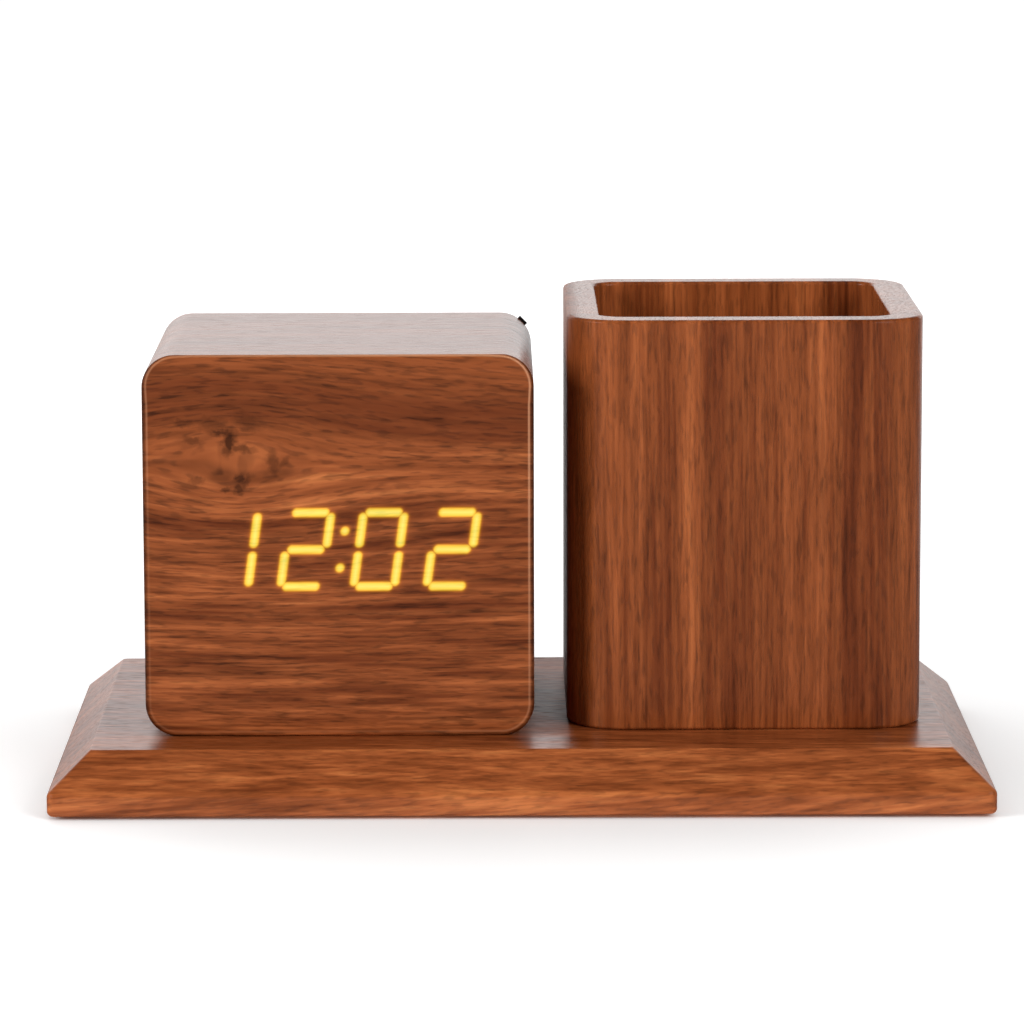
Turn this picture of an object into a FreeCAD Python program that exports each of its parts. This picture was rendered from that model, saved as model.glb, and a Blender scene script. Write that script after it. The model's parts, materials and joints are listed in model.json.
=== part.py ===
import FreeCAD, Part
import math
import os
import re
import Sketcher
from FreeCAD import Placement, Rotation, Vector

# Desk set: a bevelled plinth that carries a wooden LED clock (left) and a square pen cup (right).
# X runs to the right, Y to the back, Z up. The origin is under the middle of the plinth, on the desk.

# Driving dimensions in millimetres
driving = {
    # plinth
    "plinth_length": 228.5,
    "plinth_depth": 137,
    "plinth_height": 14.5,
    "bevel_run": 10,
    "bevel_rise": 9,
    "plinth_corner": 2,
    "arris": 1.2,
    "pad_thick": 0.8,
    "pad_diameter": 14,
    "pad_inset": 18,
    # screws: heads are shares of their diameter, holes are wider by the play
    "head_share": 0.36,
    "recess_reach": 0.24,
    "recess_half": 0.06,
    "tap_play": 0.05,
    "small_play": 0.3,
    "wood_play": 0.4,
    "blind_end": 0.8,
    # wood screws from below
    "wood_screw": 3.5,
    "wood_head": 7.4,
    "wood_length": 14,
    "counterbore": 9,
    "counterbore_deep": 6.5,
    "clock_screw_x": 52,
    "clock_screw_y": 50,
    "cup_screw_pitch": 44,
    # pen cup
    "cup_x": 55.1,
    "cup_y": 6.7,
    "cup_side": 87.4,
    "cup_height": 101.4,
    "cup_wall": 8,
    "cup_corner": 14,
    "cup_inner_corner": 6,
    "cup_floor_thick": 8,
    "cup_floor_play": 0.1,
    "cup_screw_end": 0.3,
    "rim_round": 0.9,
    # clock body
    "clock_x": -44.3,
    "clock_front": -43,
    "clock_width": 95,
    "clock_height": 94,
    "clock_depth": 82.5,
    "clock_corner": 8,
    "veneer": 0.6,
    "front_skin": 1,
    "front_round": 0.9,
    "case_wall": 7,
    "front_board": 4,
    "cavity_corner": 16,
    "rabbet_lip": 2.6,
    "rabbet_corner": 5.6,
    "window_play": 0.6,
    # display
    "display_x": 0.9,
    "display_z": -1,
    "digit_pitch": 17.78,
    "digit_width": 9.9,
    "digit_height": 18.2,
    "digit_slant": 8,
    "segment_width": 2.2,
    "segment_gap": 0.5,
    "colon_dot": 2.4,
    "colon_pitch": 9.1,
    "cell_taper": 2.8,
    "reflector_length": 72,
    "reflector_height": 25.4,
    "reflector_deep": 8,
    "reflector_round": 0.8,
    "reflector_skin": 1.2,
    "groove_height": 1.4,
    "groove_inset": 1.5,
    "peg": 2,
    "peg_inset": 4,
    "peg_proud": 0.6,
    "peg_play": 0.1,
    "film_thick": 0.2,
    "lens_deep": 3.5,
    "lens_set_back": 0.05,
    "lens_play": 0.06,
    "led_length": 2,
    "led_width": 1.1,
    "led_thick": 0.7,
    "board_thick": 1.6,
    "board_length": 76,
    "board_height": 42,
    "board_screw_x": 60,
    "board_screw_z": 34,
    "board_corner": 1.5,
    "spacer": 5,
    "small_screw": 2.4,
    "small_head": 4.4,
    "small_length": 10,
    # parts on the back of the display board
    "chip_x": -14,
    "chip_z": 6,
    "chip_side": 10,
    "chip_tall": 1.5,
    "chip_span": 12.4,
    "leg_width": 0.6,
    "leg_thick": 0.3,
    "leg_pitch": 1.6,
    "crystal_x": -14,
    "crystal_z": -6,
    "crystal_length": 10.4,
    "crystal_width": 3.8,
    "crystal_corner": 1.85,
    "crystal_tall": 3.4,
    "crystal_rim": 0.45,
    "crystal_rim_thick": 0.5,
    "buzzer_x": 24,
    "buzzer_z": -6,
    "buzzer_diameter": 12,
    "buzzer_tall": 8.5,
    "buzzer_mouth": 2.2,
    "buzzer_mouth_deep": 3,
    "microphone_x": -28,
    "microphone_z": -12,
    "microphone_diameter": 6,
    "microphone_tall": 2.7,
    # ribbon cable
    "ribbon_x": 4,
    "ribbon_z": 15,
    "ribbon_width": 15,
    "ribbon_thick": 1,
    "ribbon_sag": 5,
    "plug_length": 18,
    "plug_height": 5,
    "plug_deep": 6,
    # rear cover
    "cover_inset": 0.3,
    "cover_thick": 3,
    "cover_gap": 0.3,
    "cover_corner": 5.4,
    "cover_screw_edge": 9.2,
    "cover_screw_deep": 9,
    "tab_width": 2.6,
    "tab_reach": 0.6,
    "tab_thick": 1,
    "tab_gap": 0.05,
    "boss_diameter": 6.2,
    "boss_root": 0.5,
    "sink_play": 0.6,
    "sink_extra": 0.1,
    "post": 5,
    "post_bore_deep": 6,
    "air_slot_width": 1.2,
    "air_slot_height": 8,
    "air_slot_pitch": 2.6,
    # battery bay and door
    "bay_length": 51,
    "bay_height": 36,
    "bay_z": -16,
    "bay_wall": 1.5,
    "cell_diameter": 10.5,
    "cell_length": 44.5,
    "cell_pitch": 11,
    "cell_shift": 2.4,
    "cell_drop": 0.5,
    "cell_play": 0.2,
    "cell_nub": 3.8,
    "cell_nub_tall": 0.8,
    "door_thick": 1.9,
    "door_ledge": 2,
    "door_gap": 0.2,
    "door_seat": 0.1,
    "hinge_pin": 1.2,
    "hinge_play": 0.08,
    "hinge_reach": 1.5,
    "hinge_end_play": 0.2,
    "notch_diameter": 12,
    "notch_deep": 1.2,
    "notch_drop": 2,
    "tongue_length": 9,
    "tongue_height": 1.2,
    "tongue_deep": 3,
    "tongue_drop": 1.1,
    "grip_length": 14,
    "grip_height": 0.7,
    "grip_pitch": 1.6,
    "grip_deep": 0.4,
    "grip_drop": 4,
    # battery contacts
    "leaf_foot": 4.2,
    "leaf_crook": 3.4,
    "leaf_base": 0.35,
    "leaf_tip": 0.4,
    "leaf_thick": 0.6,
    "leaf_clear": 0.15,
    "leaf_width": 5,
    "plate_thick": 0.4,
    "plate_height": 8,
    "plate_width": 7,
    # buttons, switch and socket
    "control_z": 28,
    "button_first_x": -20,
    "button_pitch": 13,
    "button_cap": 7,
    "button_bevel": 0.4,
    "button_play": 0.2,
    "button_proud": 1.2,
    "button_travel": 0.5,
    "flange": 9.6,
    "flange_thick": 1,
    "stem": 4,
    "stem_long": 1.5,
    "tact_side": 6,
    "tact_tall": 3.5,
    "plunger": 3.2,
    "plunger_long": 2.3,
    "plunger_play": 0.4,
    "plunger_proud": 0.9,
    "plunger_spare": 0.3,
    "control_length": 60,
    "control_height": 27,
    "control_mid": 22.5,
    "post_pitch": 52,
    "post_screw_thread": 5,
    "post_screw_length": 6.5,
    "switch_length": 10,
    "switch_height": 4.4,
    "switch_clear": 0.8,
    "switch_slot_deep": 2.5,
    "lever_inset": 1,
    "lever_height": 1.6,
    "lever_long": 2.9,
    "lever_play": 0.3,
    "knob_x": 21,
    "knob_length": 4,
    "knob_height": 3,
    "knob_travel": 2,
    "knob_play": 0.2,
    "knob_proud": 0.8,
    "knob_seat": 0.1,
    "tooth_width": 0.5,
    "tooth_pitch": 1.1,
    "tooth_deep": 0.4,
    "socket_z": 14.5,
    "socket_length": 7.6,
    "socket_height": 2.9,
    "socket_corner": 0.9,
    "socket_skin": 0.35,
    "socket_deep": 5,
    "socket_play": 0.3,
    "socket_set_back": 0.3,
    "socket_hole_corner": 1.2,
    "contact_set_back": 0.8,
    "contact_inset": 1.6,
    "contact_thick": 0.7,
    "contact_lift": 0.25,
    # temperature sensor
    "sensor_x": 1.3,
    "sensor_wide": 4.6,
    "sensor_flat": 1.2,
    "sensor_round": 1.8,
    "sensor_shoulder": 0.4,
    "sensor_crown": 2.8,
    "sensor_tall": 4.6,
    "sensor_leg": 0.45,
    "sensor_leg_pitch": 1.27,
    "sensor_leg_long": 2,
}

# Sizes worked out from the driving ones
derived = {
    "plinth_top": "pad_thick + plinth_height",
    "wood_head_tall": "wood_head * head_share",
    "small_head_tall": "small_head * head_share",
    "clock_mid": "plinth_top + clock_height / 2",
    "case_width": "clock_width - 2 * veneer",
    "case_height": "clock_height - 2 * veneer",
    "cavity_width": "case_width - 2 * case_wall",
    "cavity_height": "case_height - 2 * case_wall",
    "board_front": "front_skin + film_thick + reflector_deep",
    "board_back": "board_front + board_thick",
    "cover_face": "clock_depth - cover_inset",
    "cover_inside": "cover_face - cover_thick",
    "tab_back": "clock_depth + tab_gap + tab_thick",
    "cover_width": "cavity_width + 2 * rabbet_lip",
    "cover_height": "cavity_height + 2 * rabbet_lip",
    "cover_screw_x": "cover_width - cover_screw_edge",
    "cover_screw_z": "cover_height - cover_screw_edge",
    "recess_length": "bay_length + 2 * door_ledge",
    "recess_height": "bay_height + 2 * door_ledge",
    "door_length": "recess_length - 2 * door_gap",
    "door_height": "recess_height - 2 * door_gap",
    "door_inside": "cover_face - door_thick",
    "cell_z": "bay_z - cell_drop",
    "cell_y": "door_inside - 1.5 * cell_play - cell_diameter / 2",
    "bay_floor": "cell_y - cell_diameter / 2 - cell_play",
    "flange_back": "cover_inside - knob_seat",
    "stem_front": "flange_back - flange_thick - stem_long",
    "tact_back": "stem_front - plunger_proud",
    "control_back": "tact_back - tact_tall",
    "control_front": "control_back - board_thick",
    "switch_face": "cover_inside - switch_clear",
    "socket_face": "cover_face - socket_set_back",
}

doc = FreeCAD.newDocument("desk_clock")
sheet = doc.addObject("Spreadsheet::Sheet", "sizes")
subparts = {}


def formula(text):
    """Write an expression on the sheet's aliases from plain size names."""
    names = driving.keys() | derived.keys()
    return re.sub(r"[a-z]\w*", lambda word: "sizes." + word[0] if word[0] in names else word[0], str(text))


def fill_sheet():
    """Put every size in the sheet: its name, its value or formula, and its alias."""
    rows = [(name, str(size)) for name, size in driving.items()]
    rows += [(name, "=" + text) for name, text in derived.items()]
    for row, (name, content) in enumerate(rows, start=1):
        sheet.set(f"A{row}", name)
        sheet.set(f"B{row}", content)
        sheet.setAlias(f"B{row}", name)
    doc.recompute()


def value(text):
    """The number that an expression on the sheet gives."""
    return float(sheet.evalExpression(formula(text)))


def bind(item, **sizes):
    """Bind an object's properties to expressions on the sheet."""
    for name, text in sizes.items():
        item.setExpression(name, formula(text))


def put(item, x=0, y=0, z=0, turn=None):
    """Place an object at a point given by expressions, turned about one axis if need be."""
    if turn:
        item.Placement = Placement(Vector(), Rotation(*turn))
    for axis, text in zip("xyz", (x, y, z)):
        item.setExpression(f".Placement.Base.{axis}", formula(text))


def put_in_clock(item, x=0, y=0, z=0, turn=None):
    """Place an object in the clock's own frame: the middle of the front face, Y into the clock."""
    put(item, f"clock_x + {x}", f"clock_front + {y}", f"clock_mid + {z}", turn)


def new_body(name):
    body = doc.addObject("PartDesign::Body", name)
    body.Label = name
    body.AllowCompound = True
    subparts[name] = body
    return body


def new_sketch(body, name, plane="XY", offset=0, x=0, y=0):
    """A sketch on one of the body's own planes, moved along the normal and within the plane."""
    sketch = body.newObject("Sketcher::SketchObject", name)
    origin_plane = next(o for o in body.Origin.OriginFeatures if o.Role == plane + "_Plane")
    sketch.AttachmentSupport = [(origin_plane, "")]
    sketch.MapMode = "FlatFace"
    for axis, text in zip("xyz", (x, y, offset)):
        sketch.setExpression(f".AttachmentOffset.Base.{axis}", formula(text))
    return sketch


def limit(sketch, text, *constraint):
    """Add a dimension to a sketch and bind it to an expression."""
    index = sketch.addConstraint(Sketcher.Constraint(*constraint, value(text)))
    sketch.setExpression(f"Constraints[{index}]", formula(text))


def add_polygon(sketch, points):
    """A closed outline whose corners are pairs of expressions."""
    first = sketch.GeometryCount
    corners = [Vector(value(x), value(y), 0) for x, y in points]
    count = len(points)
    for i in range(count):
        sketch.addGeometry(Part.LineSegment(corners[i], corners[(i + 1) % count]), False)
    for i, (x, y) in enumerate(points):
        following = first + (i + 1) % count
        sketch.addConstraint(Sketcher.Constraint("Coincident", first + i, 2, following, 1))
        limit(sketch, x, "DistanceX", -1, 1, first + i, 1)
        limit(sketch, y, "DistanceY", -1, 1, first + i, 1)


def add_rectangle(sketch, width, height, x=0, y=0):
    left, right = f"{x} - ({width}) / 2", f"{x} + ({width}) / 2"
    low, high = f"{y} - ({height}) / 2", f"{y} + ({height}) / 2"
    add_polygon(sketch, [(left, low), (right, low), (right, high), (left, high)])


def add_circle(sketch, diameter, x=0, y=0):
    circle = Part.Circle(Vector(value(x), value(y), 0), Vector(0, 0, 1), value(diameter) / 2)
    index = sketch.addGeometry(circle, False)
    limit(sketch, diameter, "Diameter", index)
    limit(sketch, x, "DistanceX", -1, 1, index, 3)
    limit(sketch, y, "DistanceY", -1, 1, index, 3)


def add_rounded_rectangle(sketch, width, height, radius):
    """Four corner arcs joined by four tangent sides, centred on the sketch's origin."""
    first = sketch.GeometryCount
    bend = value(radius)
    across = value(width) / 2 - bend
    up = value(height) / 2 - bend
    for i, (side, level) in enumerate(((1, -1), (1, 1), (-1, 1), (-1, -1))):
        corner = Part.Circle(Vector(side * across, level * up, 0), Vector(0, 0, 1), bend)
        start = math.radians(90 * i - 90)
        sketch.addGeometry(Part.ArcOfCircle(corner, start, start + math.pi / 2), False)
    for i in range(4):
        arc, following = sketch.Geometry[first + i], sketch.Geometry[first + (i + 1) % 4]
        sketch.addGeometry(Part.LineSegment(arc.EndPoint, following.StartPoint), False)
    for i in range(4):
        side = first + 4 + i
        sketch.addConstraint(Sketcher.Constraint("Tangent", first + i, 2, side, 1))
        sketch.addConstraint(Sketcher.Constraint("Tangent", side, 2, first + (i + 1) % 4, 1))
        sketch.addConstraint(Sketcher.Constraint("Horizontal" if i % 2 else "Vertical", side))
    for i in range(1, 4):
        sketch.addConstraint(Sketcher.Constraint("Equal", first, first + i))
    limit(sketch, radius, "Radius", first)
    limit(sketch, width, "DistanceX", first + 6, 1, first + 4, 1)
    limit(sketch, height, "DistanceY", first + 7, 1, first + 5, 1)
    sketch.addConstraint(Sketcher.Constraint("Symmetric", first, 3, first + 2, 3, -1, 1))


def extrude(body, kind, name, sketch, length, flip=False, taper=None, both=False):
    """A Pad or Pocket of a sketch. Pads follow the plane's normal and pockets go against it."""
    feature = body.newObject("PartDesign::" + kind, name)
    feature.Profile = sketch
    feature.Reversed = flip
    bind(feature, Length=length)
    if taper:
        bind(feature, TaperAngle=taper)
    if both:
        feature.Midplane = True
    doc.recompute()
    return feature


def cut(body, name, sketch, length, flip=False, taper=None, both=False):
    """A Pocket that must take material away."""
    before = body.Shape.Volume
    feature = extrude(body, "Pocket", name, sketch, length, flip, taper, both)
    if body.Shape.Volume > before - 1e-6:
        raise RuntimeError(f"{body.Name}: {name} cuts nothing")
    return feature


def revolve(body, name, sketch):
    """A full turn of a profile about the sketch's vertical axis."""
    feature = body.newObject("PartDesign::Revolution", name)
    feature.Profile = sketch
    feature.ReferenceAxis = (sketch, ["V_Axis"])
    feature.Angle = 360
    doc.recompute()
    return feature


def soften(body, name, radius, wanted):
    """Round the edges of the body's last feature for which wanted(edge) is true."""
    base = body.Tip
    edges = [f"Edge{i}" for i, edge in enumerate(base.Shape.Edges, start=1) if wanted(edge)]
    feature = body.newObject("PartDesign::Fillet", name)
    feature.Base = (base, edges)
    bind(feature, Radius=radius)
    doc.recompute()
    if feature.Shape.isNull() or not edges:
        raise RuntimeError(f"{body.Name}: {name} rounds nothing")
    return feature


def repeat(body, name, features, columns, width, rows=1, height=0):
    """Repeat features in columns and rows along the first one's sketch axes. Width and height are
    the distances from the first column or row to the last."""
    pattern = body.newObject("PartDesign::LinearPattern", name)
    pattern.Originals = features
    sketch = features[0].Profile[0]
    pattern.Direction = (sketch, ["H_Axis"])
    pattern.Occurrences = columns
    bind(pattern, Length=width)
    if rows > 1:
        pattern.Direction2 = (sketch, ["V_Axis"])
        pattern.Occurrences2 = rows
        bind(pattern, Length2=height)
    body.Tip = pattern
    doc.recompute()
    return pattern


def flat_at(edge, axis, level):
    """True for an edge that lies in the plane axis = level."""
    box = edge.BoundBox
    low, high = getattr(box, axis + "Min"), getattr(box, axis + "Max")
    return abs(low - level) < 1e-4 and abs(high - level) < 1e-4


def add_grid_of_circles(sketch, diameter, width, height, x=0, y=0):
    """Four circles at the corners of a rectangle."""
    for side in (-1, 1):
        for level in (-1, 1):
            add_circle(sketch, diameter, f"{x} + {side} * {width} / 2", f"{y} + {level} * {height} / 2")


# Plinth


def clock_screw_grid(sketch, diameter):
    middle = "clock_front + clock_depth / 2"
    add_grid_of_circles(sketch, diameter, "clock_screw_x", "clock_screw_y", "clock_x", middle)


def cup_screw_grid(sketch, diameter):
    add_grid_of_circles(sketch, diameter, "cup_screw_pitch", "cup_screw_pitch", "cup_x", "cup_y")


def make_plinth():
    """A board with a steep bevel on its four sides and counterbored screw holes from below."""
    body = new_body("plinth")
    outline = new_sketch(body, "plinth_outline")
    add_rectangle(outline, "plinth_length", "plinth_depth")
    board = extrude(body, "Pad", "plinth_board", outline, "plinth_height")
    bevel = body.newObject("PartDesign::Chamfer", "plinth_bevel")
    top = value("plinth_height")
    faces = enumerate(board.Shape.Faces, start=1)
    bevel.Base = (board, [f"Face{i}" for i, face in faces if abs(face.CenterOfMass.z - top) < 1e-6])
    bevel.ChamferType = "Two distances"
    bind(bevel, Size="bevel_rise", Size2="bevel_run")
    doc.recompute()
    soften(body, "plinth_side_rounds", "plinth_corner",
           lambda edge: not flat_at(edge, "Z", 0) and not flat_at(edge, "Z", top))
    soften(body, "plinth_foot_round", "arris", lambda edge: flat_at(edge, "Z", 0))
    soften(body, "plinth_top_round", "arris / 2", lambda edge: flat_at(edge, "Z", top))
    for name, diameter, depth in (
        ("screw_holes", "wood_screw + wood_play", "plinth_height"),
        ("counterbores", "counterbore", "counterbore_deep"),
    ):
        sketch = new_sketch(body, name + "_outline")
        clock_screw_grid(sketch, diameter)
        cup_screw_grid(sketch, diameter)
        cut(body, name, sketch, depth, flip=True)
    put(body, z="pad_thick")


def make_foot_pads():
    body = new_body("foot_pads")
    sketch = new_sketch(body, "foot_pad_outline")
    length, depth = "plinth_length - 2 * pad_inset", "plinth_depth - 2 * pad_inset"
    add_circle(sketch, "pad_diameter", f"-({length}) / 2", f"-({depth}) / 2")
    pad = extrude(body, "Pad", "foot_pad", sketch, "pad_thick")
    repeat(body, "foot_pad_grid", [pad], 2, length, 2, depth)


def make_screws(name, size, head, length, width, height):
    """Four pan-head cross-recess screws that point up, heads down at their own zero level."""
    body = new_body(name)
    tall = f"{head}_tall"
    profile = new_sketch(body, name + "_profile", "XZ", x=f"-{width} / 2", offset=f"{height} / 2")
    add_polygon(profile, [
        (0, 0),
        (tall, 0),
        (f"{head} / 2", tall),
        (f"{size} / 2", tall),
        (f"{size} / 2", length),
        (0, length),
    ])
    turned = revolve(body, name + "_turned", profile)
    place = {"x": f"-{width} / 2", "y": f"-{height} / 2"}
    recess = new_sketch(body, name + "_recess", **place)
    arm, slot = f"{head} * recess_reach", f"{head} * recess_half"
    add_polygon(recess, [
        (f"-{arm}", f"-{slot}"), (f"-{slot}", f"-{slot}"), (f"-{slot}", f"-{arm}"), (slot, f"-{arm}"),
        (slot, f"-{slot}"), (arm, f"-{slot}"), (arm, slot), (slot, slot),
        (slot, arm), (f"-{slot}", arm), (f"-{slot}", slot), (f"-{arm}", slot),
    ])
    cross = cut(body, name + "_cross", recess, f"{tall} * 0.6", flip=True)
    repeat(body, name + "_grid", [cross, turned], 2, width, 2, height)
    return body


def make_wood_screws():
    level = "pad_thick + counterbore_deep - wood_head_tall"
    clock = make_screws("clock_screws", "wood_screw", "wood_head", "wood_length",
                        "clock_screw_x", "clock_screw_y")
    put(clock, "clock_x", "clock_front + clock_depth / 2", level)
    cup = make_screws("cup_screws", "wood_screw", "wood_head", "wood_length",
                      "cup_screw_pitch", "cup_screw_pitch")
    put(cup, "cup_x", "cup_y", level)


# Pen cup


def make_cup_walls():
    body = new_body("cup_walls")
    sketch = new_sketch(body, "cup_outline")
    inner = "cup_side - 2 * cup_wall"
    add_rounded_rectangle(sketch, "cup_side", "cup_side", "cup_corner")
    add_rounded_rectangle(sketch, inner, inner, "cup_inner_corner")
    extrude(body, "Pad", "cup_tube", sketch, "cup_height")
    height = value("cup_height")
    soften(body, "rim_rounds", "rim_round", lambda edge: flat_at(edge, "Z", height))
    middle_of_wall = value("(cup_side - cup_wall) / 2")

    def foot_edge(edge):
        box = edge.BoundBox
        reach = max(abs(box.XMin), abs(box.XMax), abs(box.YMin), abs(box.YMax))
        return flat_at(edge, "Z", 0) and reach > middle_of_wall

    soften(body, "foot_round", "rim_round", foot_edge)
    put(body, "cup_x", "cup_y", "plinth_top")


def make_cup_floor():
    body = new_body("cup_floor")
    sketch = new_sketch(body, "floor_outline")
    side = "cup_side - 2 * cup_wall - cup_floor_play"
    add_rounded_rectangle(sketch, side, side, "cup_inner_corner")
    extrude(body, "Pad", "floor_board", sketch, "cup_floor_thick")
    holes = new_sketch(body, "floor_holes_outline")
    add_grid_of_circles(holes, "wood_screw + tap_play", "cup_screw_pitch", "cup_screw_pitch")
    reach = "wood_length + counterbore_deep - wood_head_tall - plinth_height + cup_screw_end"
    cut(body, "floor_holes", holes, reach, flip=True)
    put(body, "cup_x", "cup_y", "plinth_top")


# Clock body


def make_clock_case():
    """A box open at the back, with a window in its front board and a rabbet for the cover."""
    body = new_body("clock_case")
    outline = new_sketch(body, "case_outline", "XZ", offset="-front_skin")
    add_rounded_rectangle(outline, "case_width", "case_height", "clock_corner - veneer")
    extrude(body, "Pad", "case_block", outline, "clock_depth - front_skin", flip=True)
    hollow = new_sketch(body, "hollow_outline", "XZ", offset="-(front_skin + front_board)")
    add_rounded_rectangle(hollow, "cavity_width", "cavity_height", "cavity_corner")
    cut(body, "hollow", hollow, "clock_depth")
    rabbet = new_sketch(body, "rabbet_outline", "XZ", offset="-cover_inside")
    add_rounded_rectangle(rabbet, "cover_width", "cover_height", "rabbet_corner")
    cut(body, "rabbet", rabbet, "clock_depth")
    window = new_sketch(body, "window_outline", "XZ", x="display_x", y="display_z")
    add_rectangle(window, "reflector_length + window_play", "reflector_height + window_play")
    cut(body, "window", window, "front_board * 2")
    cover_holes = new_sketch(body, "cover_holes_outline", "XZ", offset="-cover_inside")
    add_grid_of_circles(cover_holes, "small_screw + tap_play", "cover_screw_x", "cover_screw_z")
    cut(body, "cover_holes", cover_holes, "cover_screw_deep", flip=True)
    board_holes = new_sketch(body, "board_holes_outline", "XZ", offset="-(front_skin + front_board)",
                             x="display_x", y="display_z")
    add_grid_of_circles(board_holes, "small_screw + tap_play", "board_screw_x", "board_screw_z")
    cut(body, "board_holes", board_holes, "front_board - blind_end", flip=True)
    base_holes = new_sketch(body, "base_holes_outline", "XY", offset="-case_height / 2",
                            y="clock_depth / 2")
    add_grid_of_circles(base_holes, "wood_screw + tap_play", "clock_screw_x", "clock_screw_y")
    cut(body, "base_holes", base_holes, "case_wall - blind_end", flip=True)
    put_in_clock(body)


def make_veneers():
    """Thin wood skins: one wrapped round the four sides, one whole rounded sheet over the front."""
    wrap = new_body("wrap_veneer")
    ring = new_sketch(wrap, "wrap_outline", "XZ", offset="-front_skin")
    add_rounded_rectangle(ring, "clock_width", "clock_height", "clock_corner")
    add_rounded_rectangle(ring, "case_width", "case_height", "clock_corner - veneer")
    extrude(wrap, "Pad", "wrap", ring, "clock_depth - front_skin", flip=True)
    holes = new_sketch(wrap, "wrap_holes_outline", "XY", offset="-clock_height / 2", y="clock_depth / 2")
    add_grid_of_circles(holes, "wood_screw + wood_play", "clock_screw_x", "clock_screw_y")
    cut(wrap, "wrap_holes", holes, "veneer * 2", flip=True)
    put_in_clock(wrap)
    front = new_body("front_veneer")
    sheet_outline = new_sketch(front, "front_outline", "XZ")
    add_rounded_rectangle(sheet_outline, "clock_width", "clock_height", "clock_corner")
    extrude(front, "Pad", "front_sheet", sheet_outline, "front_skin", flip=True)
    soften(front, "front_edge", "front_round", lambda edge: flat_at(edge, "Y", 0))
    put_in_clock(front)


# Display


def slanted(x, z):
    """A point of an upright digit, moved sideways by the digits' slant."""
    return f"{x} + ({z}) * tan(digit_slant)", z


def add_segment(sketch, x, z, length, upright_segment, inset):
    """One six-sided segment about its middle. Inset makes it narrower on every side."""
    half = f"(segment_width / 2 - {inset})"
    reach = f"(({length}) / 2 - segment_gap / 2 - {inset})"
    points = []
    for along, across in ((-1, 0), (-1, 1), (1, 1), (1, 0), (1, -1), (-1, -1)):
        shoulder = f"{along} * ({reach} - {abs(across)} * {half})"
        if upright_segment:
            points.append(slanted(f"{x} - ({across}) * {half}", f"{z} + {shoulder}"))
        else:
            points.append(slanted(f"{x} + {shoulder}", f"{z} + {across} * {half}"))
    add_polygon(sketch, points)


def add_digit(sketch, x, inset):
    """The seven segments of one digit."""
    for level in (-1, 0, 1):
        add_segment(sketch, x, f"{level} * digit_height / 2", "digit_width", False, inset)
    for side in (-1, 1):
        for level in (-1, 1):
            middle = f"{x} + {side} * digit_width / 2"
            add_segment(sketch, middle, f"{level} * digit_height / 4", "digit_height / 2", True, inset)


def display_sketch(body, name, depth):
    return new_sketch(body, name, "XZ", offset=f"-({depth})", x="display_x", y="display_z")


def add_colon(sketch, diameter):
    for level in (-1, 1):
        x, z = slanted("0", f"{level} * colon_pitch / 2")
        add_circle(sketch, diameter, x, z)


def make_reflector():
    """The white seven-segment light housing: four digits and a colon of cells that narrow backwards."""
    body = new_body("display_reflector")
    face = "front_skin + film_thick"
    outline = display_sketch(body, "reflector_outline", face)
    add_rectangle(outline, "reflector_length", "reflector_height")
    extrude(body, "Pad", "reflector_block", outline, "reflector_deep", flip=True)
    soften(body, "reflector_corners", "reflector_round",
           lambda edge: edge.BoundBox.YLength > value("reflector_deep / 2"))
    hollow = display_sketch(body, "reflector_hollow_outline", "board_front")
    for side in (-1, 1):
        level = f"{side} * (reflector_height / 2 - groove_inset)"
        add_rectangle(hollow, "reflector_length - 2 * reflector_skin", "groove_height", 0, level)
    cut(body, "reflector_hollow", hollow, "reflector_deep - reflector_skin", flip=True)
    cells = display_sketch(body, "digit_cells_outline", face)
    add_digit(cells, "-1.5 * digit_pitch", "0")
    digit = cut(body, "digit_cells", cells, "reflector_deep", taper="-cell_taper")
    repeat(body, "digit_row", [digit], 4, "3 * digit_pitch")
    dots = display_sketch(body, "colon_outline", face)
    add_colon(dots, "colon_dot")
    cut(body, "colon_cells", dots, "reflector_deep", taper="-cell_taper")
    pegs = display_sketch(body, "pegs_outline", "board_front")
    for side in (-1, 1):
        add_circle(pegs, "peg", f"{side} * (reflector_length / 2 - peg_inset)")
    extrude(body, "Pad", "pegs", pegs, "board_thick + peg_proud", flip=True)
    put_in_clock(body)


def make_lenses():
    """Clear resin that fills the front of every cell, each a solid of its own."""
    body = new_body("segment_lenses")
    face = "front_skin + film_thick + lens_set_back"
    sketch = display_sketch(body, "lens_outline", face)
    add_digit(sketch, "-1.5 * digit_pitch", "lens_play")
    lens = extrude(body, "Pad", "digit_lenses", sketch, "lens_deep", flip=True, taper="-cell_taper")
    repeat(body, "lens_row", [lens], 4, "3 * digit_pitch")
    dots = display_sketch(body, "colon_lens_outline", face)
    add_colon(dots, "colon_dot - 2 * lens_play")
    extrude(body, "Pad", "colon_lenses", dots, "lens_deep", flip=True, taper="-cell_taper")
    put_in_clock(body)


def make_leds():
    """One small light on the board behind each cell."""
    body = new_body("segment_leds")
    row = display_sketch(body, "led_outline", "board_front")
    across = "-1.5 * digit_pitch"
    for level in (-1, 0, 1):
        x, z = slanted(across, f"{level} * digit_height / 2")
        add_rectangle(row, "led_length", "led_width", x, z)
    for side in (-1, 1):
        for level in (-1, 1):
            x, z = slanted(f"{across} + {side} * digit_width / 2", f"{level} * digit_height / 4")
            add_rectangle(row, "led_width", "led_length", x, z)
    chips = extrude(body, "Pad", "digit_leds", row, "led_thick")
    repeat(body, "led_row", [chips], 4, "3 * digit_pitch")
    dots = display_sketch(body, "colon_led_outline", "board_front")
    for level in (-1, 1):
        x, z = slanted("0", f"{level} * colon_pitch / 2")
        add_rectangle(dots, "led_width", "led_width", x, z)
    extrude(body, "Pad", "colon_leds", dots, "led_thick")
    put_in_clock(body)


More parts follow.
